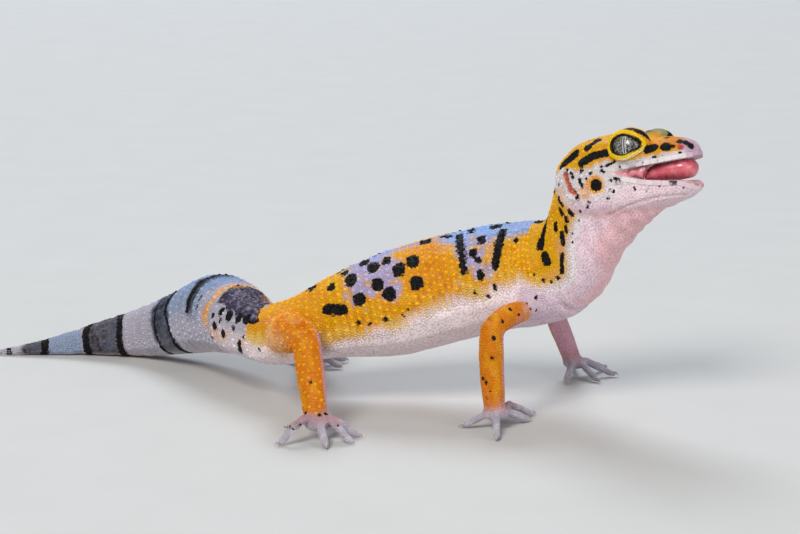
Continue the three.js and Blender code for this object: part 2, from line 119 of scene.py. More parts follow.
# The body's line from the tail's tip to the back of the head: a point on the back, one on the belly.
SPINE = [
    ((-88, 41.6, 0.9), (-88, 41.6, 0)), ((-82, 41.9, 2.1), (-82, 41.9, -0.1)),
    ((-75.6, 42.3, 3.5), (-75.4, 42.3, -0.1)), ((-65.4, 42.6, 6.9), (-64.6, 42.6, -0.1)),
    ((-54.8, 40.8, 10.8), (-53.2, 40.2, 0.1)), ((-45.8, 34.8, 16), (-43.8, 33.4, 2.2)),
    ((-38.6, 26.4, 20.8), (-37, 25.4, 4.4)), ((-33.2, 17.2, 20.3), (-32.2, 16.4, 6)),
    ((-29.8, 9.4, 18.8), (-29.2, 9, 6.9)), ((-26.6, 5.4, 18.7), (-24.4, 5.2, 6.6)),
    ((-21.2, 3, 20.6), (-18.2, 3, 7.8)), ((-15, 2, 24.4), (-11.2, 2, 9)),
    ((-4.4, 2, 29.4), (0.4, 2, 9.4)), ((7, 1.6, 33), (12, 1.6, 12.4)),
    ((17.2, 0.3, 35.5), (22.2, 0.3, 15.1)), ((23.8, -0.8, 36.5), (28, -1, 15.9)),
    ((28, -1.8, 37.1), (34.2, -5, 18.5)), ((30, -2.8, 38.5), (38.5, -9, 24)),
    ((30.5, -3.2, 41.4), (41.4, -11.6, 30.8)), ((31, -3.6, 45.4), (44.7, -13.5, 35.7)),
    ((32.2, -4.4, 48.6), (48.2, -15.7, 39.8)), ((34.8, -6.2, 51), (51, -17.2, 42.6)),
]
MID_HEIGHT = 0.46                   # of the middle line, as a share of the way from belly to back
SPINE_PLACES = 841                  # on the smooth lines through the points above


# ---- Places on the animal ----

def middle_of(node):
    low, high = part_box(node)
    return (np.array(low) + np.array(high)) / 2 / MM


def unit(vector):
    vector = np.asarray(vector, float)
    return vector / np.linalg.norm(vector)


def lengths(vectors):
    return np.linalg.norm(vectors, axis=1)


def units(vectors):
    return vectors / np.maximum(lengths(vectors), 1e-9)[:, None]


def head_axes():
    turn, lift = math.radians(HEAD_TURN), math.radians(HEAD_LIFT)
    level = math.cos(lift)
    forward = np.array([level * math.cos(turn), level * math.sin(turn), math.sin(lift)])
    left = middle_of("eye_left") - middle_of("eye_right")
    left = unit(left - forward * (left @ forward))
    return np.stack([forward, left, np.cross(forward, left)], axis=1)


HEAD_AXES = head_axes()
HEAD_ORIGIN = (middle_of("eye_left") + middle_of("eye_right")) / 2 - HEAD_AXES @ np.array(
    [EYE_AT[0], 0, EYE_AT[2]])
ORIGIN = HEAD_ORIGIN - np.array(HEAD_AT)


def to_head(places):
    return (places - HEAD_ORIGIN) @ HEAD_AXES


def from_head(places):
    return HEAD_ORIGIN + np.asarray(places, float) @ HEAD_AXES.T


def curve_through(points, count):
    """A smooth curve through the points, as evenly numbered places."""
    points = np.asarray(points, float)
    first = 2 * points[0] - points[1]
    last = 2 * points[-1] - points[-2]
    padded = np.vstack([first, points, last])
    at = np.linspace(0, len(points) - 1, count)
    index = np.minimum(at.astype(int), len(points) - 2)
    part = (at - index)[:, None]
    before, here, there, after = (padded[index + shift] for shift in range(4))
    slope_in, slope_out = (there - before) / 2, (after - here) / 2
    return ((2 * here - 2 * there + slope_in + slope_out) * part ** 3
            + (3 * there - 3 * here - 2 * slope_in - slope_out) * part ** 2 + slope_in * part + here)


class Spine:
    """The body's middle line, for places given as a length from the head and a turn from the back."""
    back = curve_through([back for back, _ in SPINE], SPINE_PLACES) + ORIGIN
    belly = curve_through([belly for _, belly in SPINE], SPINE_PLACES) + ORIGIN
    middle = back + (belly - back) * (1 - MID_HEIGHT)
    steps = lengths(np.diff(middle, axis=0))
    along = np.append(np.cumsum(steps[::-1])[::-1], 0.0)
    up = units(back - belly)
    ahead = units(np.gradient(middle, axis=0))
    left = units(np.cross(up, ahead))


def body_places(places):
    """For each place: its length along the body from the head, turn from the back (left is positive)
    in degrees, and distance from the middle line."""
    nearest = np.empty(len(places), int)
    for start in range(0, len(places), 20000):
        part = places[start:start + 20000]
        gaps = (Spine.middle ** 2).sum(1) - 2 * part @ Spine.middle.T
        nearest[start:start + 20000] = gaps.argmin(1)
    away = places - Spine.middle[nearest]
    aside = (away * Spine.left[nearest]).sum(1)
    rise = (away * Spine.up[nearest]).sum(1)
    lengthwise = (away * Spine.ahead[nearest]).sum(1)
    return Spine.along[nearest] - lengthwise, np.degrees(np.arctan2(aside, rise)), np.hypot(aside, rise)


def spine_ray(along, turn):
    """The middle line's place at a length from the head, and the direction outwards at a turn."""
    index = np.abs(Spine.along - along).argmin()
    angle = math.radians(turn)
    return Spine.middle[index], math.cos(angle) * Spine.up[index] + math.sin(angle) * Spine.left[index]


def fade(values, low, high):
    """From 0 at the first of two values to 1 at the second, softly at both ends."""
    share = np.clip((values - low) / (high - low), 0, 1)
    return share * share * (3 - 2 * share)


def read_off(line, at):
    """The height, or turn, of a line of points at each length."""
    return np.interp(at, *np.array(line).T)


def band(values, low, high, soft):
    """1 between two values, fading softly outside them."""
    return fade(values, low - soft, low + soft) * (1 - fade(values, high - soft, high + soft))


def wavy(places, size, seed=0):
    """A smooth noise from -1 to 1 with features of about the given size."""
    random = np.random.default_rng(seed)
    total = np.zeros(len(places))
    for _ in range(7):
        way = unit(random.normal(size=3)) * random.uniform(0.6, 1.6) * math.pi / size
        total += np.sin(places @ way + random.uniform(0, 2 * math.pi))
    return np.clip(total / 3, -1, 1)


# ---- Mesh helpers ----

def read(collection, field, width, kind=np.float32):
    flat = np.empty(len(collection) * width, kind)
    collection.foreach_get(field, flat)
    return flat.reshape(-1, width) if width > 1 else flat


def places_of(mesh):
    return read(mesh.vertices, "co", 3).astype(float) / MM


def normals_of(mesh):
    return read(mesh.vertex_normals, "vector", 3).astype(float)


def edges_of(mesh):
    return read(mesh.edges, "vertices", 2, np.int32)


def set_places(mesh, places):
    mesh.vertices.foreach_set("co", (places * MM).astype(np.float32).ravel())
    mesh.update()


def new_object(name, data):
    item = bpy.data.objects.new(name, data)
    bpy.context.scene.collection.objects.link(item)
    return item


def mesh_from(form, name):
    """A mesh made of a bmesh, which is freed."""
    mesh = bpy.data.meshes.new(name)
    form.to_mesh(mesh)
    form.free()
    return mesh


def shade_smooth(mesh):
    mesh.polygons.foreach_set("use_smooth", np.ones(len(mesh.polygons), bool))
    mesh.update()


def final_mesh(item):
    """A new mesh of an item as its modifiers and curve settings leave it."""
    return bpy.data.meshes.new_from_object(item.evaluated_get(bpy.context.evaluated_depsgraph_get()))


def applied(item, modifier, **settings):
    """The item's mesh with one modifier applied."""
    added = item.modifiers.new(modifier.lower(), modifier)
    for key, value in settings.items():
        setattr(added, key, value)
    mesh = final_mesh(item)
    item.modifiers.remove(added)
    item.data = mesh
    return mesh


def set_attribute(mesh, name, values, kind="FLOAT"):
    layer = mesh.attributes.get(name) or mesh.attributes.new(name, kind, "POINT")
    field = {"FLOAT": "value", "FLOAT_COLOR": "color", "FLOAT_VECTOR": "vector"}[kind]
    layer.data.foreach_set(field, np.asarray(values, np.float32).ravel())


def neighbour_mean(values, edges):
    """The mean of each vertex's neighbours; 0 where it has none."""
    count = len(values)
    total = (np.bincount(edges[:, 0], values[edges[:, 1]], count)
             + np.bincount(edges[:, 1], values[edges[:, 0]], count))
    return total / np.bincount(edges.ravel(), minlength=count).clip(1)


def spread(values, edges, rounds):
    """Averages a value over neighbouring vertices."""
    for _ in range(rounds):
        values = (values + neighbour_mean(values, edges)) / 2
    return values


def relax(places, edges, weight, rounds):
    """Smooths places, each vertex by its own weight from 0 to 1."""
    for _ in range(rounds):
        for axis in range(3):
            line = places[:, axis]
            places[:, axis] = line + weight * 0.5 * (neighbour_mean(line, edges) - line)
    return places


def gap_to_line(places, line):
    """Each place's distance from a bent line of places."""
    line = np.asarray(line, float)
    least = np.full(len(places), np.inf)
    for start, end in zip(line[:-1], line[1:]):
        way = end - start
        share = np.clip((places - start) @ way / max(way @ way, 1e-9), 0, 1)
        least = np.minimum(least, lengths(places - start - share[:, None] * way))
    return least


def tree_of(mesh):
    """A search tree over a mesh's triangles, in metres, and the triangles' corners."""
    mesh.calc_loop_triangles()
    triangles = read(mesh.loop_triangles, "vertices", 3, np.int32)
    corners = read(mesh.vertices, "co", 3)
    return BVHTree.FromPolygons(corners.tolist(), triangles.tolist()), triangles


def cast(tree, start, way):
    """The first place that a ray meets, or None."""
    hit = tree.ray_cast(Vector(np.asarray(start) * MM), Vector(way))[0]
    return None if hit is None else np.array(hit) / MM


def on_head(tree, ahead, up, side):
    """The place on the head's side at a length forward and a height, side 1 for left."""
    return cast(tree, from_head((ahead, 20 * side, up)), -side * HEAD_AXES[:, 1])


def on_body(tree, along, turn):
    start, way = spine_ray(along, turn)
    return cast(tree, start, way)


def nearest_on(tree, place):
    return np.array(tree.find_nearest(Vector(np.asarray(place) * MM))[0]) / MM


def all_nearest(tree, places):
    """For each place: the nearest one on the tree, the way its face looks and the face's number."""
    found = [tree.find_nearest(place) for place in (np.asarray(places) * MM).tolist()]
    nearest, facing, face = (np.array([hit[part] for hit in found]) for part in range(3))
    return nearest / MM, facing, face


def met(places):
    """The places that rays have met, without the rays that went past."""
    return [place for place in places if place is not None]


# ---- Skin ----

def eye_frame(side, finished=True):
    """Centre, look, forward and upward directions of an eye, in the head's frame: of the finished eye
    or of the solids' own."""
    turn = np.array([1, side, 1])
    centre = (np.array(EYE_AT) + np.array(EYE_SHIFT) * finished) * turn
    look = unit(np.array(EYE_LOOK) * turn)
    forward = unit(np.array([1.0, 0, 0]) - look * look[0])
    upward = unit(np.cross(look, forward) * -side)
    return centre, look, forward, upward


def opening_places(turn, opening, corner):
    """The almond edge of an opening in lengths over the lids, forward and up, with its front corner
    drawn out by a share."""
    front = np.maximum(0, np.cos(turn))
    ahead = opening[0] * np.cos(turn) * (1 + corner * front ** 4)
    rise = opening[1] * np.sin(turn) * (1 - 1.9 * corner * front ** 1.5)
    return np.stack([ahead, rise], axis=-1)


def over_lids(away, eye):
    """Places round an eyeball's centre as lengths over the lids, forward and up."""
    _, look, forward, upward = eye
    flat = np.column_stack([away @ forward, away @ upward])
    wide = np.maximum(lengths(flat), 1e-6)
    return flat / wide[:, None] * (np.arctan2(wide, away @ look) * LID_SPHERE)[:, None]


def off_lids(edge, reach, eye):
    """The other way round: the places at these lengths over the lids, at a reach from the centre."""
    centre, look, forward, upward = eye
    length = np.maximum(lengths(edge), 1e-6)[:, None]
    aside = (edge[:, :1] * forward + edge[:, 1:] * upward) / length
    lean = length / LID_SPHERE
    return from_head(centre + np.reshape(reach, (-1, 1)) * (np.cos(lean) * look + np.sin(lean) * aside))


def opening_turn(edge, opening):
    """The turn round an opening at which each length over the lids lies."""
    return np.arctan2(edge[:, 1] / opening[1], edge[:, 0] / opening[0])


def lid_line(side, outward, reach, count, finished=True):
    """A line round the opening of the lids, moved outward from its edge, at a reach from the eyeball's
    centre; of the finished lids or of the solids' own."""
    turn = np.linspace(0, 2 * math.pi, count, endpoint=False)
    opening = LID_OPENING if finished else SOLID_OPENING
    edge = opening_places(turn, opening, LID_CORNER if finished else 0)
    away = units(np.column_stack([np.cos(turn) / opening[0], np.sin(turn) / opening[1]]))
    edge = edge + away * outward + (np.array(LID_SHIFT) if finished else 0)
    return off_lids(edge, reach, eye_frame(side, finished))


def shape_lids(places):
    """Moves the flesh round the eyes to the finished eyes, and turns the lids of the solids into the
    finished ones, keeping their height over the eyeballs."""
    move = np.zeros(len(places))
    for side in (1, -1):
        away = lengths(to_head(places) - eye_frame(side, False)[0])
        move = np.maximum(move, 1 - fade(away, 4.4, 7.8))
    places += move[:, None] * (HEAD_AXES @ (np.array(EYE_SHIFT) * [1, 0, 1]))
    for side in (1, -1):
        eye = eye_frame(side)
        away = to_head(places) - eye[0]
        reach = lengths(away)
        near = np.flatnonzero((reach < EYE_RADIUS + LID_DEPTH) & (away @ eye[1] > 0))
        reach = reach[near]
        edge = over_lids(away[near], eye)
        share = np.hypot(edge[:, 0] / SOLID_OPENING[0], edge[:, 1] / SOLID_OPENING[1])
        aim = opening_places(opening_turn(edge, SOLID_OPENING), LID_OPENING, LID_CORNER)
        hold = 1 - fade(reach, EYE_RADIUS + LID_DEPTH - 1, EYE_RADIUS + LID_DEPTH)
        hold *= 1 - fade(share, 1.2, 1.75)
        edge = edge + (aim * share[:, None] + LID_SHIFT - edge) * hold[:, None]
        places[near] = off_lids(edge, reach, eye)
    return places


def lid_outward(places, side):
    """How far each place lies outside the edge of the finished opening, along the lids; 9 away from
    the eye."""
    eye = eye_frame(side)
    away = to_head(places) - eye[0]
    reach = lengths(away)
    near = np.flatnonzero((reach < EYE_RADIUS + LID_DEPTH) & (away @ eye[1] > -0.3))
    edge = over_lids(away[near], eye) - LID_SHIFT
    opening = opening_places(opening_turn(edge, LID_OPENING), LID_OPENING, LID_CORNER)
    found = np.full(len(places), 9.0)
    found[near] = lengths(edge) - lengths(opening)
    return found


def add_form(joined, part):
    """Adds one bmesh to another."""
    mesh = mesh_from(part, "part")
    joined.from_mesh(mesh)
    bpy.data.meshes.remove(mesh)


def ball(at, radius, roundness=3):
    form = bmesh.new()
    bmesh.ops.create_icosphere(form, subdivisions=roundness, radius=radius * MM,
                               matrix=Matrix.Translation(Vector(np.asarray(at) * MM)))
    return form


@functools.lru_cache(maxsize=None)
def meeting(name, near):
    """The middle of the places where one node comes closest to another."""
    here = places_of(NODES[name].data)
    there = places_of(NODES[near].data)
    gaps = ((here[:, None, :] - there[None, ::3, :]) ** 2).sum(2).min(1)
    return here[gaps < np.quantile(gaps, 0.3)].mean(0)


# Soft flesh between the jaws at the corner of the mouth: places in the head's frame and radii.
MOUTH_CORNER = [
    ((11, 7.2, -0.65), 0.35), ((12.2, 6.6, -0.85), 0.6), ((13.4, 6.1, -1.05), 0.8),
    ((14.6, 5.5, -1.2), 1.0), ((15.6, 4.9, -1.3), 1.15), ((16.8, 4.7, -0.8), 0.85),
    ((17.9, 4.5, -0.4), 0.6), ((19, 4.3, -0.15), 0.45),
]


def plugs():
    """Balls inside the joints between solids, so that no gap is left open there."""
    forms = [ball(from_head((3.2, 0, -5.2)), 4.5)]
    for side in ("right", "left"):
        for part, radius in (("upper_arm_", 2.6), ("thigh_", 3.4)):
            root, bend, thinner, way = leg_root(part + side)
            forms.append(ball(root + way, radius * (1 - thinner)))
        rear = root * 0.6 + bend * 0.4 + way * 0.6 + [-1.6, 0, -1.9]      # low behind the thigh
        forms.append(ball(rear, 2.5))
        for name, near, radius in (("forearm_", "upper_arm_", 1.9), ("shin_", "thigh_", 2.3),
                                   ("hand_", "forearm_", 1.7), ("foot_", "shin_", 1.9)):
            forms.append(ball(meeting(name + side, near + side), radius))
    return forms


def leg_root(name):
    """The places where an upper leg leaves the body and where it bends, and how it is drawn in."""
    part, side = name.rsplit("_", 1)
    below = {"upper_arm": "forearm_", "thigh": "shin_"}[part]
    thinner, (ahead, left, up) = LEG_TUCK[part]
    way = np.array([ahead, left if side == "left" else -left, up])
    return meeting(name, "trunk"), meeting(name, below + side), thinner, way


def leg_share(places, name):
    """How far along an upper leg each place lies, 0 at the body and 1 at the bend, and its distance
    from the leg's middle line."""
    root, bend, _, _ = leg_root(name)
    share = np.clip((places - root) @ (bend - root) / ((bend - root) @ (bend - root)), 0, 1)
    return share, lengths(places - root - share[:, None] * (bend - root))


def tucked(places, name):
    """An upper leg's places with its root drawn into the body."""
    root, bend, thinner, way = leg_root(name)
    share, _ = leg_share(places, name)
    near = (1 - fade(share, 0.15, 0.9))[:, None]
    middle = root + share[:, None] * (bend - root)
    return middle + (places - middle) * (1 - thinner * near) + way * near


def flesh_sources():
    """All the flesh solids, swollen so that they run into each other, with the rims of the lids and the
    soft corners of the mouth."""
    joined = bmesh.new()
    for name in FLESH:
        part = bmesh.new()
        part.from_mesh(NODES[name].data)
        bmesh.ops.remove_doubles(part, verts=part.verts, dist=WELD)
        if name in UPPER_LEGS:
            places = tucked(np.array([vertex.co[:] for vertex in part.verts]) / MM, name) * MM
            for vertex, place in zip(part.verts, places):
                vertex.co = place
        part.normal_update()
        swell = THIN_SWELL if name in FEET + HEAD_PARTS else SWELL
        for vertex in part.verts:
            vertex.co += vertex.normal * swell * MM
        add_form(joined, part)
    for side in (1, -1):
        for place in lid_line(side, 0.3, EYE_RADIUS + 0.3, 64, finished=False):
            add_form(joined, ball(place, 0.52, 2))
        for (ahead, aside, up), radius in MOUTH_CORNER:
            add_form(joined, ball(from_head((ahead, aside * side, up)), radius))
    for form in plugs():
        add_form(joined, form)
    return mesh_from(joined, "flesh")


def owners(places):
    """The index in FLESH of the solid nearest to each place, and the height above that solid."""
    corners, faces, owner = [], [], []
    for index, name in enumerate(FLESH):
        mesh = NODES[name].data
        start = len(corners)
        corners.extend(vertex.co.copy() for vertex in mesh.vertices)
        faces.extend([start + corner for corner in face.vertices] for face in mesh.polygons)
        owner.extend([index] * len(mesh.polygons))
    nearest, facing, face = all_nearest(BVHTree.FromPolygons(corners, faces), places)
    away = places - nearest
    height = lengths(away) * np.sign((away * facing).sum(1))
    return np.array(owner)[face], height


def by_owner(owner, table, other=0.0):
    """A value for each vertex from its solid's name; a key may be a tuple of names."""
    values = []
    for name in FLESH:
        hits = [value for names, value in table.items()
                if name in (names if isinstance(names, tuple) else (names,))]
        values.append(hits[0] if hits else other)
    return np.array(values, float)[owner]


def belongs(owner, parts):
    """1 where the nearest solid is one of these parts, else 0."""
    return by_owner(owner, {parts: 1.0})


def joint_closeness(owner, edges):
    """1 at the places where two solids meet, fading over a few vertices."""
    group = np.array([0 if name in BODY_PARTS else 1 if name in HEAD_PARTS else 2 + index
                      for index, name in enumerate(FLESH)])[owner]
    differs = group[edges[:, 0]] != group[edges[:, 1]]
    close = np.zeros(len(owner))
    close[edges[differs].ravel()] = 1
    for _ in range(7):
        wider = close.copy()
        np.maximum.at(wider, edges[:, 0], close[edges[:, 1]])
        np.maximum.at(wider, edges[:, 1], close[edges[:, 0]])
        close = wider
    return spread(close, edges, 6)


def lid_closeness(places):
    """1 on the lids of either eye, 0 away from them."""
    near = np.zeros(len(places))
    for side in (1, -1):
        outward = lid_outward(places, side)
        near = np.maximum(near, 1 - fade(outward, LID_WIDTH + 0.3, LID_WIDTH + 1.1))
    return near


def root_closeness(places):
    """1 round the drawn-in roots of the legs, 0 away from them."""
    near = np.zeros(len(places))
    for name in UPPER_LEGS:
        share, gap = leg_share(places, name)
        near = np.maximum(near, (1 - fade(gap, 3.6, 6)) * (1 - fade(share, 0.75, 0.95)))
    return near


def smooth_skin(places, edges, owner):
    weight = by_owner(owner, {"head": 0.35, "lower_jaw": 0.4, "tail_tip": 0.5, FEET: 0.12,
                              BODY_PARTS: 1.0}, 0.6)
    weight = np.maximum(weight, joint_closeness(owner, edges) * 0.9)
    weight = np.maximum(weight, root_closeness(places))
    weight *= 1 - 0.8 * lid_closeness(places)
    weight = spread(weight, edges, 6)
    places = relax(places, edges, weight, 45)
    return relax(places, edges, np.minimum(weight * 4, 1), 3)


def sink_skin(mesh, edges, owner):
    """Moves the smooth skin to its depth under the solids, evenly, without taking their facets on."""
    depth = by_owner(owner, {HEAD_PARTS: COAT_DEPTH["head"], FEET: COAT_DEPTH["feet"],
                             LIMBS: COAT_DEPTH["legs"]}, COAT_DEPTH["body"])
    depth = spread(depth, edges, 10)
    joints = 0.8 * joint_closeness(owner, edges)
    for rounds in (24, 14, 9):
        places = places_of(mesh)
        _, height = owners(places)
        free = (1 - lid_closeness(places)) * (1 - root_closeness(places)) * (1 - joints * (rounds < 24))
        move = (-depth - np.clip(height, -1.2, 1.2)) * free
        set_places(mesh, places + normals_of(mesh) * spread(move, edges, rounds)[:, None])


def raise_crown(places):
    """Rounds the crown behind the eyes a little over the solids."""
    ahead, aside, up = to_head(places).T
    share = band(ahead, -0.8, 11, 2.6) * fade(up, 2.4, 4.6) * fade(np.abs(aside), 8.5, 6)
    return places + (CROWN_RISE * share)[:, None] * HEAD_AXES[:, 2]


# ---- Forms carved in the skin ----

NOSTRIL = (22.7, 2.6)               # forward and up in the head's frame
EAR = [(0.0, 0.3), (0.6, -1.0), (1.0, -1.9), (1.2, -2.8), (2.1, -3.5)]
JAW_CREASE = [(23.4, -6.1), (21.2, -6.1), (18.4, -6.1), (15.3, -6.4), (11.4, -7.3), (7.5, -8.4)]
TEMPLE_FOLD = [(9.4, -1.0), (6.5, -2.0), (4.4, -4.6)]
TAIL_RING = 3.05                    # the length of one ring of the tail
TAIL_RINGS_FROM = 88


def head_line(tree, points, side):
    """A line over the head's side through points given forward and up."""
    return met(on_head(tree, ahead, up, side) for ahead, up in curve_through(points, 9))


def head_features(tree):
    """The nostrils, ears and creases as lines of places, each with its width, depth and rim."""
    features = []
    for side in (1, -1):
        nostril = on_head(tree, *NOSTRIL, side)
        features.append(([nostril, nostril + HEAD_AXES[:, 0] * 0.25], 0.36, 0.55, 0.14))
        features.append((head_line(tree, EAR, side), 0.56, 1.0, 0.2))
        features.append((head_line(tree, JAW_CREASE, side), 0.3, 0.2, 0.08))
        features.append((head_line(tree, TEMPLE_FOLD, side), 0.55, 0.16, 0.05))
    return features


def refine_near(mesh, features):
    """Splits the skin's faces finer round the eyes and the carved features."""
    form = bmesh.new()
    form.from_mesh(mesh)
    form.verts.ensure_lookup_table()
    places = places_of(mesh)
    near = np.zeros(len(places), bool)
    for line, width, _, _ in features:
        if width > 0.33:
            near |= gap_to_line(places, line) < width * 3.2
    for side in (1, -1):
        near |= np.abs(lid_outward(places, side) - 0.45) < 0.95
    edges = [edge for edge in form.edges if near[edge.verts[0].index] and near[edge.verts[1].index]]
    bmesh.ops.subdivide_edges(form, edges=edges, cuts=1, use_grid_fill=True)
    bmesh.ops.triangulate(form, faces=form.faces)
    form.to_mesh(mesh)
    form.free()
    mesh.update()


def carve_features(mesh, features):
    places = places_of(mesh)
    normals = normals_of(mesh)
    move = np.zeros(len(places))
    for line, width, depth, rim in features:
        gap = gap_to_line(places, line)
        move -= depth * np.exp(-(gap / width) ** 2)
        move += rim * np.exp(-((gap - 2.1 * width) / (0.8 * width)) ** 2)
    for side in (1, -1):
        outward = lid_outward(places, side)
        move -= 0.16 * np.exp(-((outward - LID_WIDTH - 0.14) / 0.17) ** 2)
        move += 0.1 * np.exp(-((outward - LID_WIDTH / 2) / 0.32) ** 2)
    set_places(mesh, places + normals * move[:, None])


def carve_body(mesh, owner):
    """Rings of the tail, folds of the throat, neck, flanks and groin, and a slight unevenness."""
    places = places_of(mesh)
    along, turn, _ = body_places(places)
    tail = belongs(owner, TAIL_PARTS)
    trunk = belongs(owner, ("trunk", "neck"))
    ring = np.abs((along - TAIL_RINGS_FROM) / TAIL_RING % 1 - 0.5) * TAIL_RING - TAIL_RING / 2
    girth = fade(along, 160, 120) * 0.6 + 0.4
    move = -0.2 * np.exp(-(ring / 0.34) ** 2) * tail * fade(along, 84, 92) * girth
    flank = band(np.abs(turn), 55, 118, 14)
    creases = np.sin(along * 2 * math.pi / 2.6 + wavy(places, 6, 3) * 2.2)
    near_legs = band(along, 24, 36, 3) * 0.6 + band(along, 66, 76, 3) + 0.35
    move += 0.07 * creases * flank * near_legs * trunk
    head_places = to_head(places)
    throat = fade(-head_places[:, 2], 6.5, 8.5) * band(head_places[:, 0], 2, 23, 3)
    neck = belongs(owner, "neck") * fade(np.abs(turn), 70, 120)
    folds = np.sin(head_places[:, 0] * 2 * math.pi / 2.9 + wavy(places, 7, 5) * 1.8)
    move += 0.13 * folds * np.maximum(throat, neck * 0.6)
    move += 0.05 * wavy(places, 3.5, 8) * by_owner(owner, {HEAD_PARTS: 0.4, FEET: 0.2}, 1.0)
    set_places(mesh, places + normals_of(mesh) * move[:, None])


def claw_lines():
    """Tip, direction and foot of each claw, found as the farthest points of each hand and foot."""
    claws = []
    for name in FEET:
        corners = places_of(NODES[name].data)
        palm = np.median(corners[corners[:, 2] > 2.2], axis=0)
        away = lengths((corners - palm)[:, :2])
        tips = []
        for index in np.argsort(-away):
            if all(np.linalg.norm(corners[index] - corners[tip]) > 3 for tip in tips):
                tips.append(index)
            if len(tips) == CLAWS:
                break
        for tip in tips:
            close = corners[lengths(corners - corners[tip]) < 3.2]
            way = corners[tip] - close.mean(0)
            claws.append((corners[tip], unit(way * np.array([1, 1, 0])), name))
    return claws


def blunt_toes(places, claws):
    """Draws the skin back from the claws, which are pieces of their own."""
    for tip, way, _ in claws:
        start = tip - way * CLAW_LENGTH * 0.8
        close = lengths(places - tip) < 2.2
        ahead = (places[close] - start) @ way
        places[close] -= np.maximum(ahead, 0)[:, None] * way * 0.85
    return places


def make_skin(claws):
    """The one skin over all the flesh, as its object; the solid nearest to each vertex steers how it is
    smoothed and sunk.
    """
    flesh = new_object("skin", flesh_sources())
    mesh = applied(flesh, "REMESH", mode="VOXEL", voxel_size=VOXEL * MM, use_smooth_shade=True)
    edges = edges_of(mesh)
    owner, _ = owners(places_of(mesh))
    set_places(mesh, shape_lids(smooth_skin(places_of(mesh), edges, owner)))
    sink_skin(mesh, edges, owner)
    set_places(mesh, raise_crown(blunt_toes(places_of(mesh), claws)))
    carve_body(mesh, owner)
    tree, _ = tree_of(mesh)
    features = head_features(tree)
    refine_near(mesh, features)
    carve_features(mesh, features)
    ratio = SKIN_TRIANGLES / len(mesh.polygons)
    mesh = applied(flesh, "DECIMATE", ratio=ratio)
    shade_smooth(mesh)
    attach(flesh, "root")
    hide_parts(*FLESH)
    return flesh


# ---- Markings ----

PAINTS = {
    "yellow": (234, 176, 10), "orange": (230, 148, 4), "deep_orange": (208, 104, 4),
    # The sheen colour is a painted blue reflection, laid on the back, the crown and the top of the tail.
    "pale_yellow": (238, 206, 116), "lavender": (184, 174, 210), "painted_sheen": (138, 178, 238),
    "belly": (244, 229, 232), "belly_low": (230, 206, 214), "chest": (218, 195, 212),
    "throat": (236, 188, 192), "throat_lilac": (232, 206, 218), "white": (228, 222, 224),
    "cheek_orange": (238, 168, 66), "peach": (232, 178, 128), "snout_lilac": (204, 172, 194),
    "jaw": (236, 212, 220), "lip_pink": (214, 160, 168),
    "lid": (248, 206, 10), "lid_gold": (246, 180, 4), "lid_low": (238, 232, 168),
    # The near-black lid colour is painted shade in the eye sockets and in the groove round the lids, and
    # is also the dark patch over the left brow.
    "brow_dark_and_lid_shade": (28, 22, 18),
    "olive": (132, 146, 92), "ear": (204, 106, 84), "nostril": (206, 96, 104),
    # The deep mouth colour is painted shade, darker red towards the middle of the open mouth.
    "mouth": (222, 138, 146), "deep_mouth_shade": (178, 74, 84), "brown": (96, 66, 66),
    "tail_white": (184, 180, 194), "tail_blue": (138, 160, 190), "tail_purple": (56, 48, 70),
    "tail_grey": (42, 40, 48), "tail_band": (30, 27, 38), "leg_orange": (226, 134, 8),
    "leg_pink": (236, 164, 176), "leg_lilac": (206, 172, 190), "foot": (190, 184, 198),
    # The groin colour is painted shade in the fold between the thigh and the belly.
    "foot_low": (208, 204, 212), "ankle": (186, 138, 142), "groin": (132, 74, 74),
    "dark": (13, 10, 13), "tongue": (206, 84, 98), "tongue_light": (220, 122, 132),
    "claw": (206, 198, 196), "claw_shade": (150, 136, 130), "iris": (206, 204, 198),
    "iris_shade": (104, 102, 98),
}


def linear(paint):
    """A paint's red, green and blue in linear light."""
    shares = np.array(PAINTS[paint], float) / 255
    return np.where(shares <= 0.04045, shares / 12.92, ((shares + 0.055) / 1.055) ** 2.4)


def opaque(paint):
    """A paint for a node's colour socket."""
    return (*linear(paint), 1)


class Tone:
    """The skin's colours at given places, painted one over another."""

    def __init__(self, paint, places):
        self.colours = np.tile(linear(paint), (len(places), 1))

    def turn_to(self, colours, share):
        self.colours = self.colours + (colours - self.colours) * share[:, None]

    def lay(self, paint, mask):
        """Paints over the tone where the mask is 1."""
        self.turn_to(linear(paint), np.clip(mask, 0, 1))


def arc(turn, away):
    """The length of a turn in degrees, at a distance from the middle line."""
    return turn * away * math.pi / 180


# Dark marks of the body's right side: lengths from the head with turns from the back, then a radius.
# Those of the left side are much the same, a little moved.
TRUNK_MARKS = [
    ([(70, -32)], 0.85), ([(66.1, -34)], 1.25), ([(65.2, -62)], 1.15), ([(61.3, -26)], 1.15),
    ([(58.2, -23)], 0.85), ([(56.3, -42)], 1.2), ([(61.1, -52)], 1.15), ([(58.9, -65)], 1.2),
    ([(53.1, -37)], 1.2), ([(53.3, -62)], 1.25), ([(67, -12)], 0.75), ([(66.4, -86)], 0.45),
    ([(64.2, -89)], 0.42), ([(61.1, -88)], 0.5), ([(57.5, -89)], 0.32), ([(56.3, -85)], 0.38),
    ([(31, -34)], 0.5), ([(63, -4)], 0.95), ([(50, -3)], 0.8), ([(74, -8)], 0.8), ([(36.6, -4)], 0.7),
    ([(71.2, -63), (68.8, -69)], 1.05), ([(43.1, -9), (42.7, -36), (42.7, -62)], 0.8),
    ([(34.4, -16), (35.3, -37), (35.8, -49), (36.6, -62)], 0.76), ([(46.6, -1), (45.4, -8)], 0.7),
    ([(40.3, -44)], 0.78), ([(38.4, -29)], 0.8), ([(39.5, -53)], 0.62),
    ([(39.5, -66), (39.5, -71)], 0.66),
    ([(41.4, -85)], 0.42), ([(37.4, -81), (37.4, -87)], 0.34), ([(39.2, -92)], 0.42),
    ([(40.6, -6)], 0.6),
]
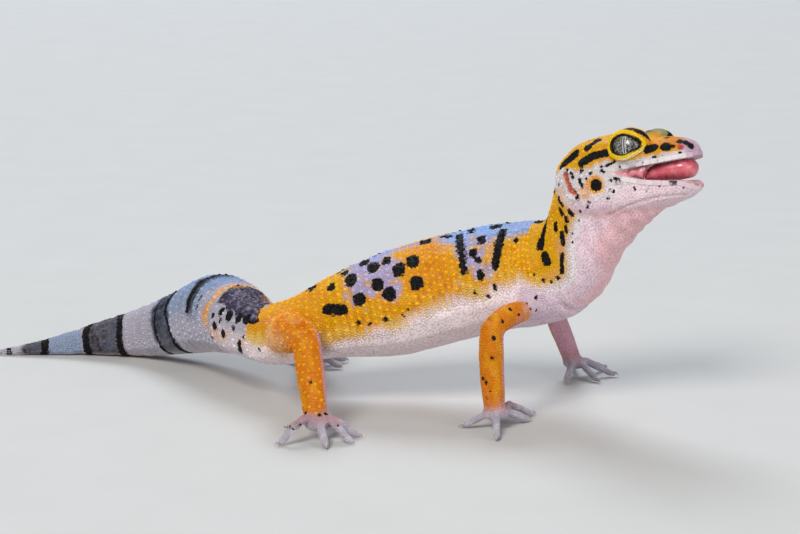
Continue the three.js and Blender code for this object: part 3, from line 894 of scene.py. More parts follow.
NECK_MARKS = [
    ([(16, -21), (19.7, -41), (21.2, -50)], 0.62), ([(20.8, -48), (21.5, -54)], 0.88),
    ([(20.9, -70), (20.9, -79)], 0.86),
    ([(16.6, -29)], 0.5), ([(17.1, -93), (19.4, -106)], 0.46), ([(20.5, -107)], 0.42),
    ([(23.8, -94)], 0.38),
    ([(22.1, -104)], 0.34), ([(25.9, -80)], 0.3), ([(9.4, -51), (10, -58)], 0.5),
    ([(11.4, -53), (11.8, -60)], 0.44), ([(9.9, -72), (10.2, -76)], 0.58), ([(8.2, -88)], 0.3),
    ([(11.6, -69), (12, -74)], 0.42), ([(10.3, -91)], 0.16), ([(13, -76), (13.6, -83)], 0.34),
    ([(13.1, -93)], 0.22), ([(14.4, -58), (15, -63)], 0.5), ([(14.4, -76), (15.5, -87)], 0.52),
    ([(14.2, -100)], 0.16), ([(13.4, -8), (14.6, -2)], 0.5), ([(25.4, -4)], 0.6), ([(10.6, -20)], 0.45),
]
TAIL_MARKS = [
    ([(93.9, -54)], 0.82), ([(91.3, -53)], 1), ([(89, -49)], 1), ([(87.1, -46)], 0.9),
    ([(94.8, -83)], 0.76), ([(92, -91)], 0.86), ([(87.2, -80)], 0.36),
    ([(88.2, -94), (88.5, -114)], 0.58),
    ([(84.4, -97)], 0.36), ([(96.2, -68)], 0.5), ([(89.6, -72)], 0.5), ([(93.4, -70)], 0.5),
    ([(96.8, -104)], 0.5), ([(103.5, -48), (104, -66)], 0.22),
]
# Specks of the right legs, measured from the working origin.
LEG_SPECKS = [
    ((17.7, -22.4, 18), 0.46), ((17.4, -22.9, 14.3), 0.34), ((15.7, -22.4, 10.1), 0.42),
    ((16.3, -22.8, 9.4), 0.42), ((16.5, -22.8, 6.5), 0.34), ((20.9, -18.8, 22.8), 0.4),
    ((17.2, -22.6, 7.8), 0.26), ((24.3, -14.3, 23), 0.36), ((25, -15, 22), 0.36),
    ((26.2, -14.1, 21.6), 0.34),
    ((26.2, -12.2, 23.6), 0.34), ((22.6, -17.6, 21.4), 0.34), ((19.4, -19.6, 20.6), 0.36),
    ((-17.7, -30.5, 5.3), 0.42), ((-15, -27.2, 4.4), 0.4), ((-13.8, -27.6, 4.6), 0.42),
    ((-16.9, -26.4, 10.4), 0.4), ((-18.6, -30.8, 3.4), 0.28), ((-19.8, -31.8, 2.8), 0.26),
    ((-20.4, -31.4, 3.2), 0.26), ((-13, -31.4, 3.2), 0.26), ((-11.6, -30.6, 3.2), 0.26),
]
SIDE_WAY = np.array([0, 0.982, -0.191])     # the direction in which their specks are put on
LEFT_SPECKS = {"upper_arm_left": 4, "thigh_left": 7, "shin_left": 6, "foot_left": 6}
# Marks of the head's sides: forward and up in the head's frame, then a radius.
HEAD_MARKS = [
    ([(4.2, 2.2), (5.2, 2.6), (6.4, 3)], 0.92), ([(6.4, 3), (8, 3.2), (9.6, 3.4)], 0.78),
    ([(17.2, 2.9), (18.1, 3.3)], 0.72), ([(20.2, 3.1)], 0.98), ([(22.4, 3.8)], 0.66),
    ([(23.4, 3.5)], 0.6), ([(24.3, 2.8)], 0.64), ([(21.6, 3)], 0.36),
    ([(22.9, 1.5)], 0.34), ([(18.1, 1.4), (18.6, 1.4)], 0.26), ([(19.9, 1.6)], 0.16),
    ([(18.9, 0.6)], 0.17),
    ([(16.2, 0.5)], 0.3), ([(12, 0.3)], 0.28), ([(9.4, 0.8), (10.3, 1.1), (11.2, 1.5)], 0.26),
    ([(8.4, 0.8)], 0.32), ([(8.4, 0.1), (9, -0.3)], 0.24), ([(4.2, 1), (4.2, 0.3)], 0.34),
    ([(6.2, -0.2)], 0.37), ([(5.3, -1.1)], 0.28), ([(3.8, -1.1), (3.9, -1.6)], 0.32),
    ([(4.2, -2.1), (4.2, -2.6)], 0.32), ([(0.7, 1.1), (0.8, 0.4)], 0.32),
    ([(1.7, 0.4), (2.2, -0.5)], 0.3),
    ([(-1.7, -1.4)], 0.25), ([(7.1, -2.6)], 1.08), ([(10.2, -2)], 0.27),
    ([(10.9, -1.7), (11.5, -2)], 0.27),
    ([(11.9, -2.5)], 0.27), ([(11.2, -2.6)], 0.23), ([(14.4, -4)], 0.3), ([(16.3, -4.6)], 0.24),
    ([(18.8, -4.1)], 0.2), ([(21.4, -4)], 0.2), ([(22.7, -4.8)], 0.2), ([(10.4, -4.1)], 0.34),
    ([(9.7, -3.7)], 0.16), ([(7.6, -5.2)], 0.24), ([(9.1, -5.3)], 0.27), ([(5, -5.6)], 0.32),
    ([(4.4, -6.5)], 0.32), ([(2.4, -7)], 0.34), ([(2.8, -4.2)], 0.62),
]
# Marks of the crown and brows on the right, with their places in the head's frame: forward, left, up.
CROWN_MARKS = [
    ([(4.9, -5.8, 4.6), (6.3, -4.6, 5.7)], 0.72),
    ([(-1.1, -5.9, 2.4), (0.5, -6, 3.2), (2, -5.9, 4)], 0.86),
    ([(13.4, -7.2, 7.4), (14.6, -7.2, 7.4), (15.2, -6.4, 7.1)], 0.46),
    ([(15.9, -6.4, 6.8), (16.7, -5.7, 6), (17.2, -4.5, 5.3)], 0.62),
    ([(8.6, -1.8, 6.6), (9.8, -2.8, 6.7)], 0.62), ([(3.4, -1.6, 6.3), (5.2, -1, 6.5)], 0.6),
    ([(13.6, -1.4, 6.4)], 0.62), ([(19.4, -1.6, 5.2)], 0.55), ([(0.4, -2, 5.6)], 0.6),
    ([(11.6, -4.6, 7.9)], 0.5),
]
BROADER = {"body": 1.06, "head": 1.14, "crown": 1.25}      # factors of the marks' radii, by part
# Narrow dark rings of the tail: middle, half width, and the turn that they reach from the back.
TAIL_RINGS = [
    (108.5, 1.1, 76), (119, 0.5, 180), (124.6, 0.5, 180), (137.4, 0.9, 180), (145.6, 1, 180),
    (155.4, 0.9, 180), (163, 0.6, 180), (168.6, 1, 180),
]
# Broader mottled bands of the tail: from, to, paint, and the turn that they reach.
TAIL_BANDS = [
    (106, 109.2, "tail_band", 74), (118.2, 125.2, "tail_band", 200), (137, 146, "tail_grey", 200),
    (154.8, 159.6, "tail_band", 200),
]
CAP = (84.6, 97.2, 47)              # the dark cap over the tail's root: from, to, turn that it reaches


def on_other_side(line, random):
    """The same marks on the left side, a little moved."""
    shift = random.uniform(-1.2, 1.2)
    turned = random.uniform(-7, 7)
    return [(along + shift, -turn + turned) for along, turn in line]


def drawn_out(line, radius):
    """A single spot as a short upright line: spots on the back are longer from side to side."""
    if len(line) > 1:
        return line
    along, turn = line[0]
    reach = radius * (1 / max(math.sin(math.radians(min(abs(turn) + 14, 90))), 0.5) - 0.82) * 5
    return [(along, turn - reach), (along, turn + reach)]


def random_specks(tree, random):
    """Specks of the left legs."""
    specks = []
    for name, count in LEFT_SPECKS.items():
        corners = places_of(NODES[name].data)
        for place in corners[random.choice(len(corners), count, replace=False)]:
            specks.append(([nearest_on(tree, place)], random.uniform(0.22, 0.44)))
    return specks


def dark_marks(tree):
    """All the dark spots and bars as lines of places on the skin, each with its radius. The left side
    has the same as the right, a little moved, apart from the specks of its legs."""
    random = np.random.default_rng(11)
    marks = []
    for line, radius in TRUNK_MARKS + NECK_MARKS + TAIL_MARKS:
        line = drawn_out(line, radius)
        for side_line in (line, on_other_side(line, random)):
            found = met(on_body(tree, along, turn) for along, turn in side_line)
            marks.append((found, radius * BROADER["body"]))
    for place, radius in LEG_SPECKS:
        seen = cast(tree, np.array(place) + ORIGIN - 20 * SIDE_WAY, SIDE_WAY)
        marks.append(([nearest_on(tree, np.array(place) + ORIGIN) if seen is None else seen], radius))
    marks += random_specks(tree, random)
    for line, radius in HEAD_MARKS:
        for side in (-1, 1):
            moved = random.uniform(-0.4, 0.4, 2) * (side > 0)
            found = met(on_head(tree, ahead + moved[0], up + moved[1], side) for ahead, up in line)
            marks.append((found, radius * BROADER["head"]))
    for line, radius in CROWN_MARKS:
        for side in (1, -1):
            moved = random.uniform(-0.5, 0.5, 3) * (side < 0)
            turned = np.array(line) * [1, side, 1] + moved
            found = [nearest_on(tree, from_head(place)) for place in turned]
            marks.append((found, radius * BROADER["crown"]))
    return [(line, radius) for line, radius in marks if line]


def darkness(places, marks):
    """How far each place lies outside the nearest dark mark; negative inside."""
    outside = np.full(len(places), 9.0)
    for line, radius in marks:
        line = np.array(line)
        low, high = line.min(0) - radius - 1.2, line.max(0) + radius + 1.2
        near = np.flatnonzero(((places > low) & (places < high)).all(1))
        if len(line) == 1:
            line = np.vstack([line, line])
        gap = gap_to_line(places[near], line) - radius
        outside[near] = np.minimum(outside[near], gap)
    along, turn, away = body_places(places)
    for middle, half, reach in TAIL_RINGS:
        ring = np.abs(along - middle + 0.5 * wavy(places, 4, int(middle))) - half
        past = arc(np.abs(turn) - reach, away)
        outside = np.where(along > 104, np.minimum(outside, np.maximum(ring, past)), outside)
    rim = np.abs(cap_depth(places, along, turn, away)) - 0.3
    rim += 1.2 * fade(along, 89, 92) * fade(np.abs(turn), 14, 34)
    return np.where(along > 80, np.minimum(outside, rim), outside)


def cap_depth(places, along, turn, away):
    """How far each place lies inside the dark cap over the tail's root; negative outside."""
    start, end, reach = CAP
    middle, half = (start + end) / 2, (end - start) / 2
    across = arc(reach - np.abs(turn), away)
    length = half - np.abs(along - middle - 0.4 * across)
    return np.minimum(length, across) + 0.5 * wavy(places, 2.6, 4)


# The edge of the belly's pale colour: lengths from the head, and turns from the back.
BELLY_EDGE = [
    (6, 80), (12, 80), (15, 87), (17.5, 98), (20, 108), (21.5, 106), (23.5, 98), (26, 89), (28.5, 78),
    (31, 71), (35, 78), (41, 84), (49, 83), (58, 91), (71, 101), (76, 98), (81, 84), (88, 70),
]
LAVENDER_BANDS = [(56, 67.6, 66), (36, 43.2, 70)]   # from, to, and the turn that they reach


def body_tone(places):
    """Ground colours of the neck, trunk and tail."""
    along, turn, away = body_places(places)
    aside = np.abs(turn)
    uneven = wavy(places, 3.2, 21)
    fine = wavy(places, 0.9, 22)
    row = np.cos((along - TRUNK_ROWS[0]) * 2 * math.pi / TRUNK_ROWS[2] + 0.5 * wavy(places, 7, 26))
    tone = Tone("yellow", places)
    tone.lay("orange", 0.75 * band(along, 45.5, 55, 3) * fade(aside + 8 * uneven, 92, 60))
    tone.lay("orange", 0.4 * band(along, 72, 86, 3) + 0.36 * fade(uneven, 0.1, 0.9))
    tone.lay("deep_orange", 0.35 * fade(fine, 0.2, 0.9) * band(along, 46, 56, 3))
    gaps = fade(-row, 0.1, 0.9) * band(along, 26, 72, 3)
    tone.lay("deep_orange", gaps * (0.36 + 0.24 * fine) * fade(aside, 18, 45))
    for low, high, reach in LAVENDER_BANDS:
        edge = along + 1.1 * uneven
        across = fade(aside + 9 * wavy(places, 1.9, 23), reach + 4, reach - 4)
        patchy = 1 - 0.75 * fade(wavy(places, 1.4, 24), 0.5, 0.7)
        patchy *= 1 - 0.85 * band(edge, 35.6, 38.2, 0.6) * band(aside, 36, 60, 5)
        tone.lay("lavender", band(edge, low, high, 0.5) * across * patchy)
    # Painted blue reflection along the top of the back, broadest over the shoulders.
    tone.lay("painted_sheen", 0.9 * band(along, 27, 47, 2) * fade(aside + 7 * uneven, 34, 13))
    tone.lay("painted_sheen", 0.5 * band(along, 48, 68, 3) * fade(aside, 12, 5))
    below = arc(aside - read_off(BELLY_EDGE, along), away)
    on_neck = fade(along, 26, 21)
    streaks = (-row * 0.55 + uneven * 0.8) * (1 - 0.75 * on_neck)
    tone.lay("pale_yellow", 0.85 * fade(below, -3.4, 0.2) * fade(-streaks, -0.4, 1) * (1 - on_neck))
    tone.lay("peach", 0.8 * band(below, -1.6, -0.2, 0.6) * on_neck * fade(uneven, -0.6, 0.4))
    tone.lay("belly", fade(below + streaks, -0.5, 2.1))
    tone.lay("belly_low", 0.7 * fade(below, 5, 11))
    tone.lay("chest", 0.8 * fade(below, 1.0, 3) * fade(along, 36, 29))
    tone.lay("throat_lilac", on_neck * fade(below, 1.6, 3.0))
    tone.lay("white", 0.8 * band(below, 0.5, 2.6, 0.7) * fade(along, 26, 22))
    tone.lay("throat", on_neck * fade(below, 4.5, 9) * 0.9)
    # Painted shade in the fold between the thigh and the belly.
    tone.lay("groin", 0.6 * band(along, 72.6, 75.6, 1.2) * band(aside, 84, 122, 8))
    tail_tone(tone, places, along, turn, away)
    return tone


def tail_tone(tone, places, along, turn, away):
    """Lays the tail's colours over the body's."""
    aside = np.abs(turn)
    uneven = wavy(places, 2.4, 31)
    fine = wavy(places, 0.8, 32)
    behind = fade(along + 0.7 * uneven + 1.4 * fade(aside, 40, 0), 86.4, 87.6)
    tone.lay("tail_white", behind)
    tone.lay("belly", 0.7 * behind * fade(aside, 60, 100) * fade(along, 99, 92))
    tone.lay("peach", 0.5 * band(along, 84, 97, 2) * band(aside, 84, 112, 6) * fade(uneven, -0.1, 0.5))
    cap = cap_depth(places, along, turn, away)
    tone.lay("tail_purple", fade(cap + 0.35 * fine, -0.15, 0.25))
    tone.lay("lavender", 0.4 * fade(cap, 0.4, 1.2) * fade(fine, 0.25, 0.8))
    warm = np.abs(along - 99.6 + 0.5 * uneven) - 0.75
    tone.lay("cheek_orange", 0.85 * fade(warm, 0.5, -0.4) * fade(aside, 100, 80))
    tone.lay("peach", 0.5 * band(np.abs(along - 101), -1, 1, 0.4) * fade(aside, 40, 20))
    tone.lay("tail_blue", 0.8 * fade(along + uneven, 102, 105) * (1 - fade(along, 124, 128))
             * fade(aside + 20 * fine, 96, 60))
    tone.lay("tail_purple", 0.4 * band(along, 101.5, 106.5, 1) * fade(aside, 44, 20))
    tone.lay("tail_white", band(along, 127, 136, 1) * 0.8)
    # Painted blue reflection over the top of the tail's hump.
    tone.lay("painted_sheen", 0.45 * band(along, 101, 116, 2) * fade(aside + 12 * fine, 44, 20))
    tone.lay("tail_blue", 0.8 * band(along, 147, 155, 0.6))
    for low_end, high_end, paint, reach in TAIL_BANDS:
        shade = band(along + 0.7 * uneven, low_end, high_end, 0.5) * (0.86 + 0.14 * fine)
        shade *= fade(aside + 8 * uneven, reach + 16, reach - 16)
        tone.lay(paint, shade)
        tone.lay("tail_blue", 0.3 * shade * fade(fine + uneven, 0.5, 1.2))
    tone.lay("belly", 0.5 * fade(aside, 125, 150) * fade(along, 84, 90))


def mouth_depth(head_places):
    """How far each place lies inside the gap between the lips; negative outside."""
    ahead, _, up = head_places.T
    gap = np.minimum(read_off(UPPER_LIP, ahead) - up, up - read_off(LOWER_LIP, ahead))
    return np.minimum(gap, (ahead - UPPER_LIP[0][0]) * 0.5)


# The lower edge of the head's yellow: forward and up in the head's frame.
HEAD_YELLOW_EDGE = [
    (-2.5, 2.1), (0.9, 1.5), (3.6, 0.8), (5.1, 0.9), (7.5, 1.4), (9.4, 1.7), (11.2, 1.6), (15.6, 1.4),
    (16.9, 2), (19.6, 2), (21.9, 2.2), (23.3, 2.1), (24.5, 3.4), (26, 4.4),
]


def head_tone(places):
    """Ground colours of the head and lower jaw."""
    head_places = to_head(places)
    ahead, aside, up = head_places.T
    uneven = wavy(places, 2.2, 41)
    fine = wavy(places, 0.8, 42)
    tone = Tone("yellow", places)
    tone.lay("orange", 0.5 * fade(uneven, -0.2, 0.8) + 0.35 * fade(ahead, 15, 18))
    # Painted blue reflection in flecks over the crown.
    tone.lay("painted_sheen", 0.2 * fade(fine, 0.3, 0.9) * fade(up, 4.5, 6))
    tone.lay("deep_orange", 0.5 * fade(ahead, 19, 21.5) * fade(up, 2, 3.4))
    edge = read_off(HEAD_YELLOW_EDGE, ahead)
    nape = fade(ahead, 3.4, 0.4) * fade(np.abs(aside), 6.4, 4)
    low = edge - up + 0.3 * uneven + 0.2 * fine - 5 * nape
    tone.lay("white", fade(low, -0.15, 0.35))
    tone.lay("jaw", fade(-up, 1.8, 4.4) * fade(ahead, 8, 13))
    tone.lay("throat_lilac", fade(-up, 3.6, 6.6) * fade(ahead, 14, 8))
    tone.lay("throat", 0.85 * fade(-up, 6.6, 8.4) * fade(ahead, 2, 8))
    tone.lay("peach", 0.5 * band(-up, 2, 5, 1) * fade(ahead, 0.6, -1))
    for side in (1, -1):
        ring = lengths(places - from_head((7.1, 8.3 * side, -2.6))) + 0.35 * uneven
        tone.lay("cheek_orange", fade(ring, 2.35, 1.7))
        behind = lengths(places - from_head((4.6, 8.4 * side, -3.6)))
        tone.lay("peach", 0.75 * fade(behind, 2.2, 0.8))
    tone.lay("snout_lilac", 0.95 * fade(ahead + 0.4 * up, 23.8, 25))
    depth = mouth_depth(head_places)
    lips = fade(-depth, 0.75, 0.15) * fade(ahead, 11, 14)
    tone.lay("lip_pink", lips * np.where(up < -1, 0.7, 0.4))
    tone.lay("brown", 0.45 * fade(wavy(places, 1.1, 43), 0.45, 0.8) * lips * (up < -1))
    brow = band(ahead, 10.6, 19.4, 1) * fade(up, 4.9, 6) * fade(np.abs(aside), 2.4, 3.6)
    brow *= aside > 0
    tone.lay("olive", 0.8 * brow)
    tone.lay("brow_dark_and_lid_shade", 0.7 * brow * fade(ahead + 1.5 * uneven, 15, 12.4))
    return tone


def lid_tone(tone, places):
    """Lays on the bright roll round each eye, paler below, with painted shade in the socket inside it
    and in the groove outside it.
    """
    head_places = to_head(places)
    ahead = (head_places[:, 0] - EYE_AT[0]) / LID_OPENING[0]
    up = (head_places[:, 2] - EYE_AT[2]) / LID_OPENING[1]
    for side in (1, -1):
        outward = lid_outward(places, side)
        ring = fade(outward, LID_WIDTH + 0.1, LID_WIDTH - 0.06)
        tone.lay("lid", ring)
        tone.lay("lid_gold", 0.7 * ring * fade(outward, 0.4, 0.68) * fade(up, -0.4, 0.4))
        low = fade(0.5 * ahead - up, 0.55, 1.05) * fade(up, 0.2, -0.3)
        tone.lay("lid_low", 0.9 * ring * low * fade(outward, 0, 0.5))
        # Painted shade in the carved groove just outside the roll, and in the socket between the lids
        # and the eyeball.
        tone.lay("brow_dark_and_lid_shade", 0.35 * band(outward, LID_WIDTH + 0.08, LID_WIDTH + 0.22, 0.07))
        tone.lay("brow_dark_and_lid_shade", fade(outward, -0.08, -0.16))


def inward_of(places):
    """The direction in which the inner, paler side of each leg faces."""
    right = (places[:, 1] - ORIGIN[1] < 0)[:, None]
    front = (places[:, 0] - ORIGIN[0] > 0)[:, None]
    return np.where(right, [0.86, 0.5, -0.05], np.where(front, [0.34, -0.94, 0], [0.62, -0.78, -0.05]))


def behind_lids(places):
    """1 inside the eye sockets, where no scales grow."""
    hidden = np.zeros(len(places))
    for side in (1, -1):
        reach = lengths(to_head(places) - eye_frame(side)[0])
        hidden = np.maximum(hidden, (reach < EYE_RADIUS + 0.28) | (lid_outward(places, side) < 0.04))
    return hidden


def limb_tone(places, normals):
    """Orange outer sides of the legs, pinkish lilac inner edges and ankles."""
    inside = (normals * inward_of(places)).sum(1) + 0.1 * wavy(places, 1.6, 51)
    far_arm = (places[:, 1] - ORIGIN[1] > 0) & (places[:, 0] - ORIGIN[0] > 0)
    inside = inside + 0.5 * far_arm
    tone = Tone("leg_orange", places)
    tone.lay("yellow", 0.5 * fade(wavy(places, 1.5, 52), 0, 0.8))
    tone.lay("deep_orange", 0.4 * fade(wavy(places, 1.1, 53), 0.2, 0.9))
    tone.lay("leg_pink", fade(inside, 0.3, 0.84))
    tone.lay("leg_lilac", fade(inside, 0.7, 0.92) * (1 - 0.4 * far_arm))
    tone.lay("ankle", 0.5 * fade(places[:, 2], 7.5, 4) * fade(inside, -0.4, 0.2))
    return tone


def foot_tone(places):
    tone = Tone("foot", places)
    tone.lay("foot_low", 0.8 * fade(wavy(places, 1.4, 61), -0.2, 0.8))
    tone.lay("ankle", 0.75 * fade(places[:, 2] + 0.4 * wavy(places, 1.2, 62), 2.8, 4.4))
    return tone


def part_shares(places, normals, edges, owner):
    """How far each vertex belongs to the head, to a leg and to a foot, fading over the joints."""
    head = spread(belongs(owner, HEAD_PARTS), edges, 8)
    head *= 1 - fade(body_places(places)[0], 8.4, 10.2)
    foot = spread(belongs(owner, FEET), edges, 8)
    limb = spread(belongs(owner, LIMBS), edges, 5)
    for name in UPPER_LEGS:
        thigh = name.startswith("thigh")
        start = 0.42 if thigh else 0.32
        share, gap = leg_share(places, name)
        share = share + 0.06 * wavy(places, 1.8, 63)
        root = fade(share, start + 0.2, start - 0.2) * fade(gap, 7, 5.5)
        if thigh:
            root *= 1 - 0.9 * fade(normals[:, 2], 0.25, 0.7)
        limb = limb * (1 - root)
    return {"head": head, "limb": limb, "foot": foot}


def mark_skin(mesh, tree):
    """Gives the skin its ground tone, its distance from the dark marks and its wetness."""
    places = places_of(mesh)
    normals = normals_of(mesh)
    owner, _ = owners(places)
    shares = part_shares(places, normals, edges_of(mesh), owner)
    tone = body_tone(places)
    tone.turn_to(limb_tone(places, normals).colours, shares["limb"])
    tone.turn_to(foot_tone(places).colours, shares["foot"])
    ahead, height = places[:, 0] - ORIGIN[0], places[:, 2]
    ahead = ahead + 0.5 * wavy(places, 2, 64)
    rump = fade(-ahead, 20.8, 23.6) * fade(ahead, -30, -27) * fade(height, 19.5, 15.5)
    beside = fade(np.abs(places[:, 1] - ORIGIN[1] - 4), 5.5, 7.5)
    tone.lay("peach", 0.8 * rump * np.maximum(beside, shares["limb"]) * (1 - shares["foot"]))
    tone.turn_to(head_tone(places).colours, shares["head"])
    for side in (1, -1):
        slit = gap_to_line(places, head_line(tree, EAR, side))
        tone.lay("white", 0.8 * fade(slit, 1.5, 0.9) * shares["head"])
        tone.lay("ear", fade(slit, 0.9, 0.56))
        nostril = lengths(places - on_head(tree, *NOSTRIL, side))
        tone.lay("nostril", fade(nostril, 0.8, 0.5))
    lid_tone(tone, places)
    head_places = to_head(places)
    inside = fade(mouth_depth(head_places), -0.05, 0.2) * shares["head"]
    tone.lay("mouth", inside)
    # Painted shade, darker red towards the middle of the open mouth.
    tone.lay("deep_mouth_shade", 0.7 * inside * fade(np.abs(head_places[:, 1]), 4.6, 3.2))
    colours = np.clip(tone.colours, 0, 1)
    set_attribute(mesh, "tone", np.column_stack([colours, np.ones(len(colours))]), "FLOAT_COLOR")
    set_attribute(mesh, "wet", inside)
    dark = darkness(places, dark_marks(tree))
    outward = np.minimum(lid_outward(places, 1), lid_outward(places, -1))
    clear = (inside > 0.4) | (outward < LID_WIDTH)
    set_attribute(mesh, "dark", np.where(clear, 9, dark))
    return {"owner": owner, "tone": colours, "wet": inside, "inner": behind_lids(places), **shares,
            "inside": (normals * inward_of(places)).sum(1)}


# ---- Materials ----

class Nodes:
    """Adds and joins the nodes of one tree."""

    def __init__(self, tree):
        self.tree = tree

    def add(self, kind, **settings):
        node = self.tree.nodes.new(kind)
        for key, value in settings.items():
            setattr(node, key, value)
        return node

    def set(self, sockets, values):
        """Gives each socket its value, or joins it to the socket given; None leaves it alone."""
        for socket, value in zip(sockets, values):
            if isinstance(value, bpy.types.NodeSocket):
                self.tree.links.new(value, socket)
            elif value is not None:
                socket.default_value = value

    def feed(self, node, **values):
        """Sets or joins inputs by name, with _ for a space."""
        self.set([node.inputs[name.replace("_", " ")] for name in values], values.values())
        return node

    def math(self, operation, first, second=None, clamp=False):
        node = self.add("ShaderNodeMath", operation=operation, use_clamp=clamp)
        self.set(node.inputs, (first, second))
        return node.outputs[0]

    def plus(self, first, second):
        return self.math("ADD", first, second)

    def minus(self, first, second, clamp=False):
        return self.math("SUBTRACT", first, second, clamp)

    def times(self, first, second):
        return self.math("MULTIPLY", first, second)

    def between(self, value, low, high):
        node = self.add("ShaderNodeMapRange", interpolation_type="SMOOTHSTEP")
        return self.feed(node, Value=value, From_Min=low, From_Max=high).outputs[0]

    def mix(self, share, first, second, blend="MIX"):
        node = self.add("ShaderNodeMix", data_type="RGBA", blend_type=blend)
        self.set((node.inputs[0], node.inputs[6], node.inputs[7]), (share, first, second))
        return node.outputs[2]

    def attribute(self, name, output="Fac"):
        return self.add("ShaderNodeAttribute", attribute_name=name).outputs[output]

    def object_places(self):
        return self.add("ShaderNodeTexCoord").outputs["Object"]

    def noise(self, vector, scale, detail=2.0, roughness=0.5, output="Fac"):
        node = self.add("ShaderNodeTexNoise")
        self.feed(node, Vector=vector, Scale=scale, Detail=detail, Roughness=roughness)
        return node.outputs[output]

    def hollows(self, vector, scale, smoothness):
        """Distances from the middles of rounded cells."""
        node = self.add("ShaderNodeTexVoronoi", feature="SMOOTH_F1")
        return self.feed(node, Vector=vector, Scale=scale, Smoothness=smoothness).outputs["Distance"]


def new_group(name, inputs, outputs):
    """A shader node group with its sockets, and its input and output nodes."""
    group = bpy.data.node_groups.new(name, "ShaderNodeTree")
    for socket, value in inputs.items():
        added = group.interface.new_socket(name=socket, in_out="INPUT", socket_type="NodeSocketFloat")
        added.default_value = value
    for socket, kind in outputs.items():
        group.interface.new_socket(name=socket, in_out="OUTPUT", socket_type=kind)
    nodes = Nodes(group)
    return group, nodes, nodes.add("NodeGroupInput").outputs, nodes.add("NodeGroupOutput")


def gecko_markings():
    """Ground tone and dark marks of skin and scales, with small differences from place to place."""
    group, nodes, given, out = new_group(
        "gecko markings", {"Unevenness": 0.12, "Edge": 0.12},
        {"Color": "NodeSocketColor", "Dark": "NodeSocketFloat"})
    place = nodes.object_places()
    broad = nodes.times(nodes.noise(place, 420, 3), 0.6)
    fine = nodes.times(nodes.noise(place, 2600), 0.4)
    swing = nodes.times(nodes.minus(nodes.plus(broad, fine), 0.5), given["Unevenness"])
    shade = nodes.add("ShaderNodeHueSaturation")
    nodes.feed(shade, Color=nodes.attribute("tone", "Color"), Saturation=nodes.minus(1.0, swing),
               Value=nodes.plus(nodes.times(swing, 4.0), 1.0))
    wobble = nodes.times(nodes.minus(nodes.noise(place, 1500), 0.5), 0.36)
    outside = nodes.plus(nodes.attribute("dark"), wobble)
    dark = nodes.between(outside, given["Edge"], nodes.times(given["Edge"], -1.0))
    nodes.feed(out, Color=nodes.mix(dark, shade.outputs[0], opaque("dark")), Dark=dark)
    return group


def skin_relief():
    """Height of fine grains and of slight wrinkles between them."""
    group, nodes, given, out = new_group("skin relief", {"Grain": 2600, "Wrinkle": 500},
                                         {"Height": "NodeSocketFloat"})
    place = nodes.object_places()
    grains = nodes.minus(1.0, nodes.hollows(place, given["Grain"], 0.4))
    wrinkles = nodes.noise(place, given["Wrinkle"], 4, 0.6)
    nodes.feed(out, Height=nodes.plus(grains, nodes.times(wrinkles, 0.5)))
    return group


def new_material(name):
    material = bpy.data.materials.new(name)
    material.use_nodes = True
    return material, Nodes(material.node_tree), material.node_tree.nodes["Principled BSDF"]


def placed(nodes, group, **values):
    return nodes.feed(nodes.add("ShaderNodeGroup", node_tree=group), **values).outputs


def bumped(nodes, shader, height, strength, distance):
    bump = nodes.add("ShaderNodeBump")
    nodes.feed(bump, Height=height, Strength=strength, Distance=distance * MM)
    nodes.feed(shader, Normal=bump.outputs[0])


def skin_material(markings, relief):
    material, nodes, shader = new_material("gecko skin")
    marks = placed(nodes, markings, Unevenness=0.16)
    wet = nodes.attribute("wet")
    dry_shade = nodes.minus(1.0, wet, clamp=True)
    rough = nodes.plus(0.52, nodes.times(marks["Dark"], 0.15))
    # Dry skin is darkened to 0.78, 0.74, 0.74: painted shade in the gaps between the scales that stand
    # on it.
    nodes.feed(shader, Base_Color=nodes.mix(dry_shade, marks["Color"], (0.78, 0.74, 0.74, 1), "MULTIPLY"),
               Roughness=nodes.minus(rough, nodes.times(wet, 0.36)), Specular_IOR_Level=0.25,
               Coat_Weight=nodes.times(wet, 0.7), Coat_Roughness=0.12)
    smoother = nodes.minus(1.0, nodes.times(wet, 0.85))
    bumped(nodes, shader, nodes.times(placed(nodes, relief)["Height"], smoother), 0.45, 0.12)
    return material


def scale_material(markings, relief):
    material, nodes, shader = new_material("gecko scale")
    marks = placed(nodes, markings, Unevenness=0.12)
    rough = nodes.plus(0.42, nodes.times(nodes.noise(nodes.object_places(), 900), 0.2))
    rough = nodes.plus(rough, nodes.times(marks["Dark"], 0.2))
    nodes.feed(shader, Base_Color=marks["Color"], Roughness=rough, Specular_IOR_Level=0.16)
    bumped(nodes, shader, placed(nodes, relief, Grain=5200.0, Wrinkle=1600.0)["Height"], 0.25, 0.05)
    return material


def tongue_material():
    material, nodes, shader = new_material("wet tongue")
    place = nodes.object_places()
    mottle = nodes.noise(place, 700, 3)
    base = nodes.mix(nodes.between(mottle, 0.35, 0.7), opaque("tongue"), opaque("tongue_light"))
    nodes.feed(shader, Base_Color=base, Roughness=nodes.plus(0.2, nodes.times(mottle, 0.16)),
               Coat_Weight=0.6, Coat_Roughness=0.1, Subsurface_Weight=0.2,
               Subsurface_Radius=(1.0, 0.3, 0.25), Subsurface_Scale=0.8 * MM)
    bumped(nodes, shader, nodes.minus(1.0, nodes.hollows(place, 3200.0, 0.6)), 0.3, 0.08)
    return material


def claw_material():
    material, nodes, shader = new_material("claw horn")
    streak = nodes.noise(nodes.object_places(), 1800, 3)
    nodes.feed(shader, Base_Color=nodes.mix(streak, opaque("claw"), opaque("claw_shade")),
               Roughness=nodes.plus(0.22, nodes.times(streak, 0.2)))
    bumped(nodes, shader, streak, 0.3, 0.03)
    return material


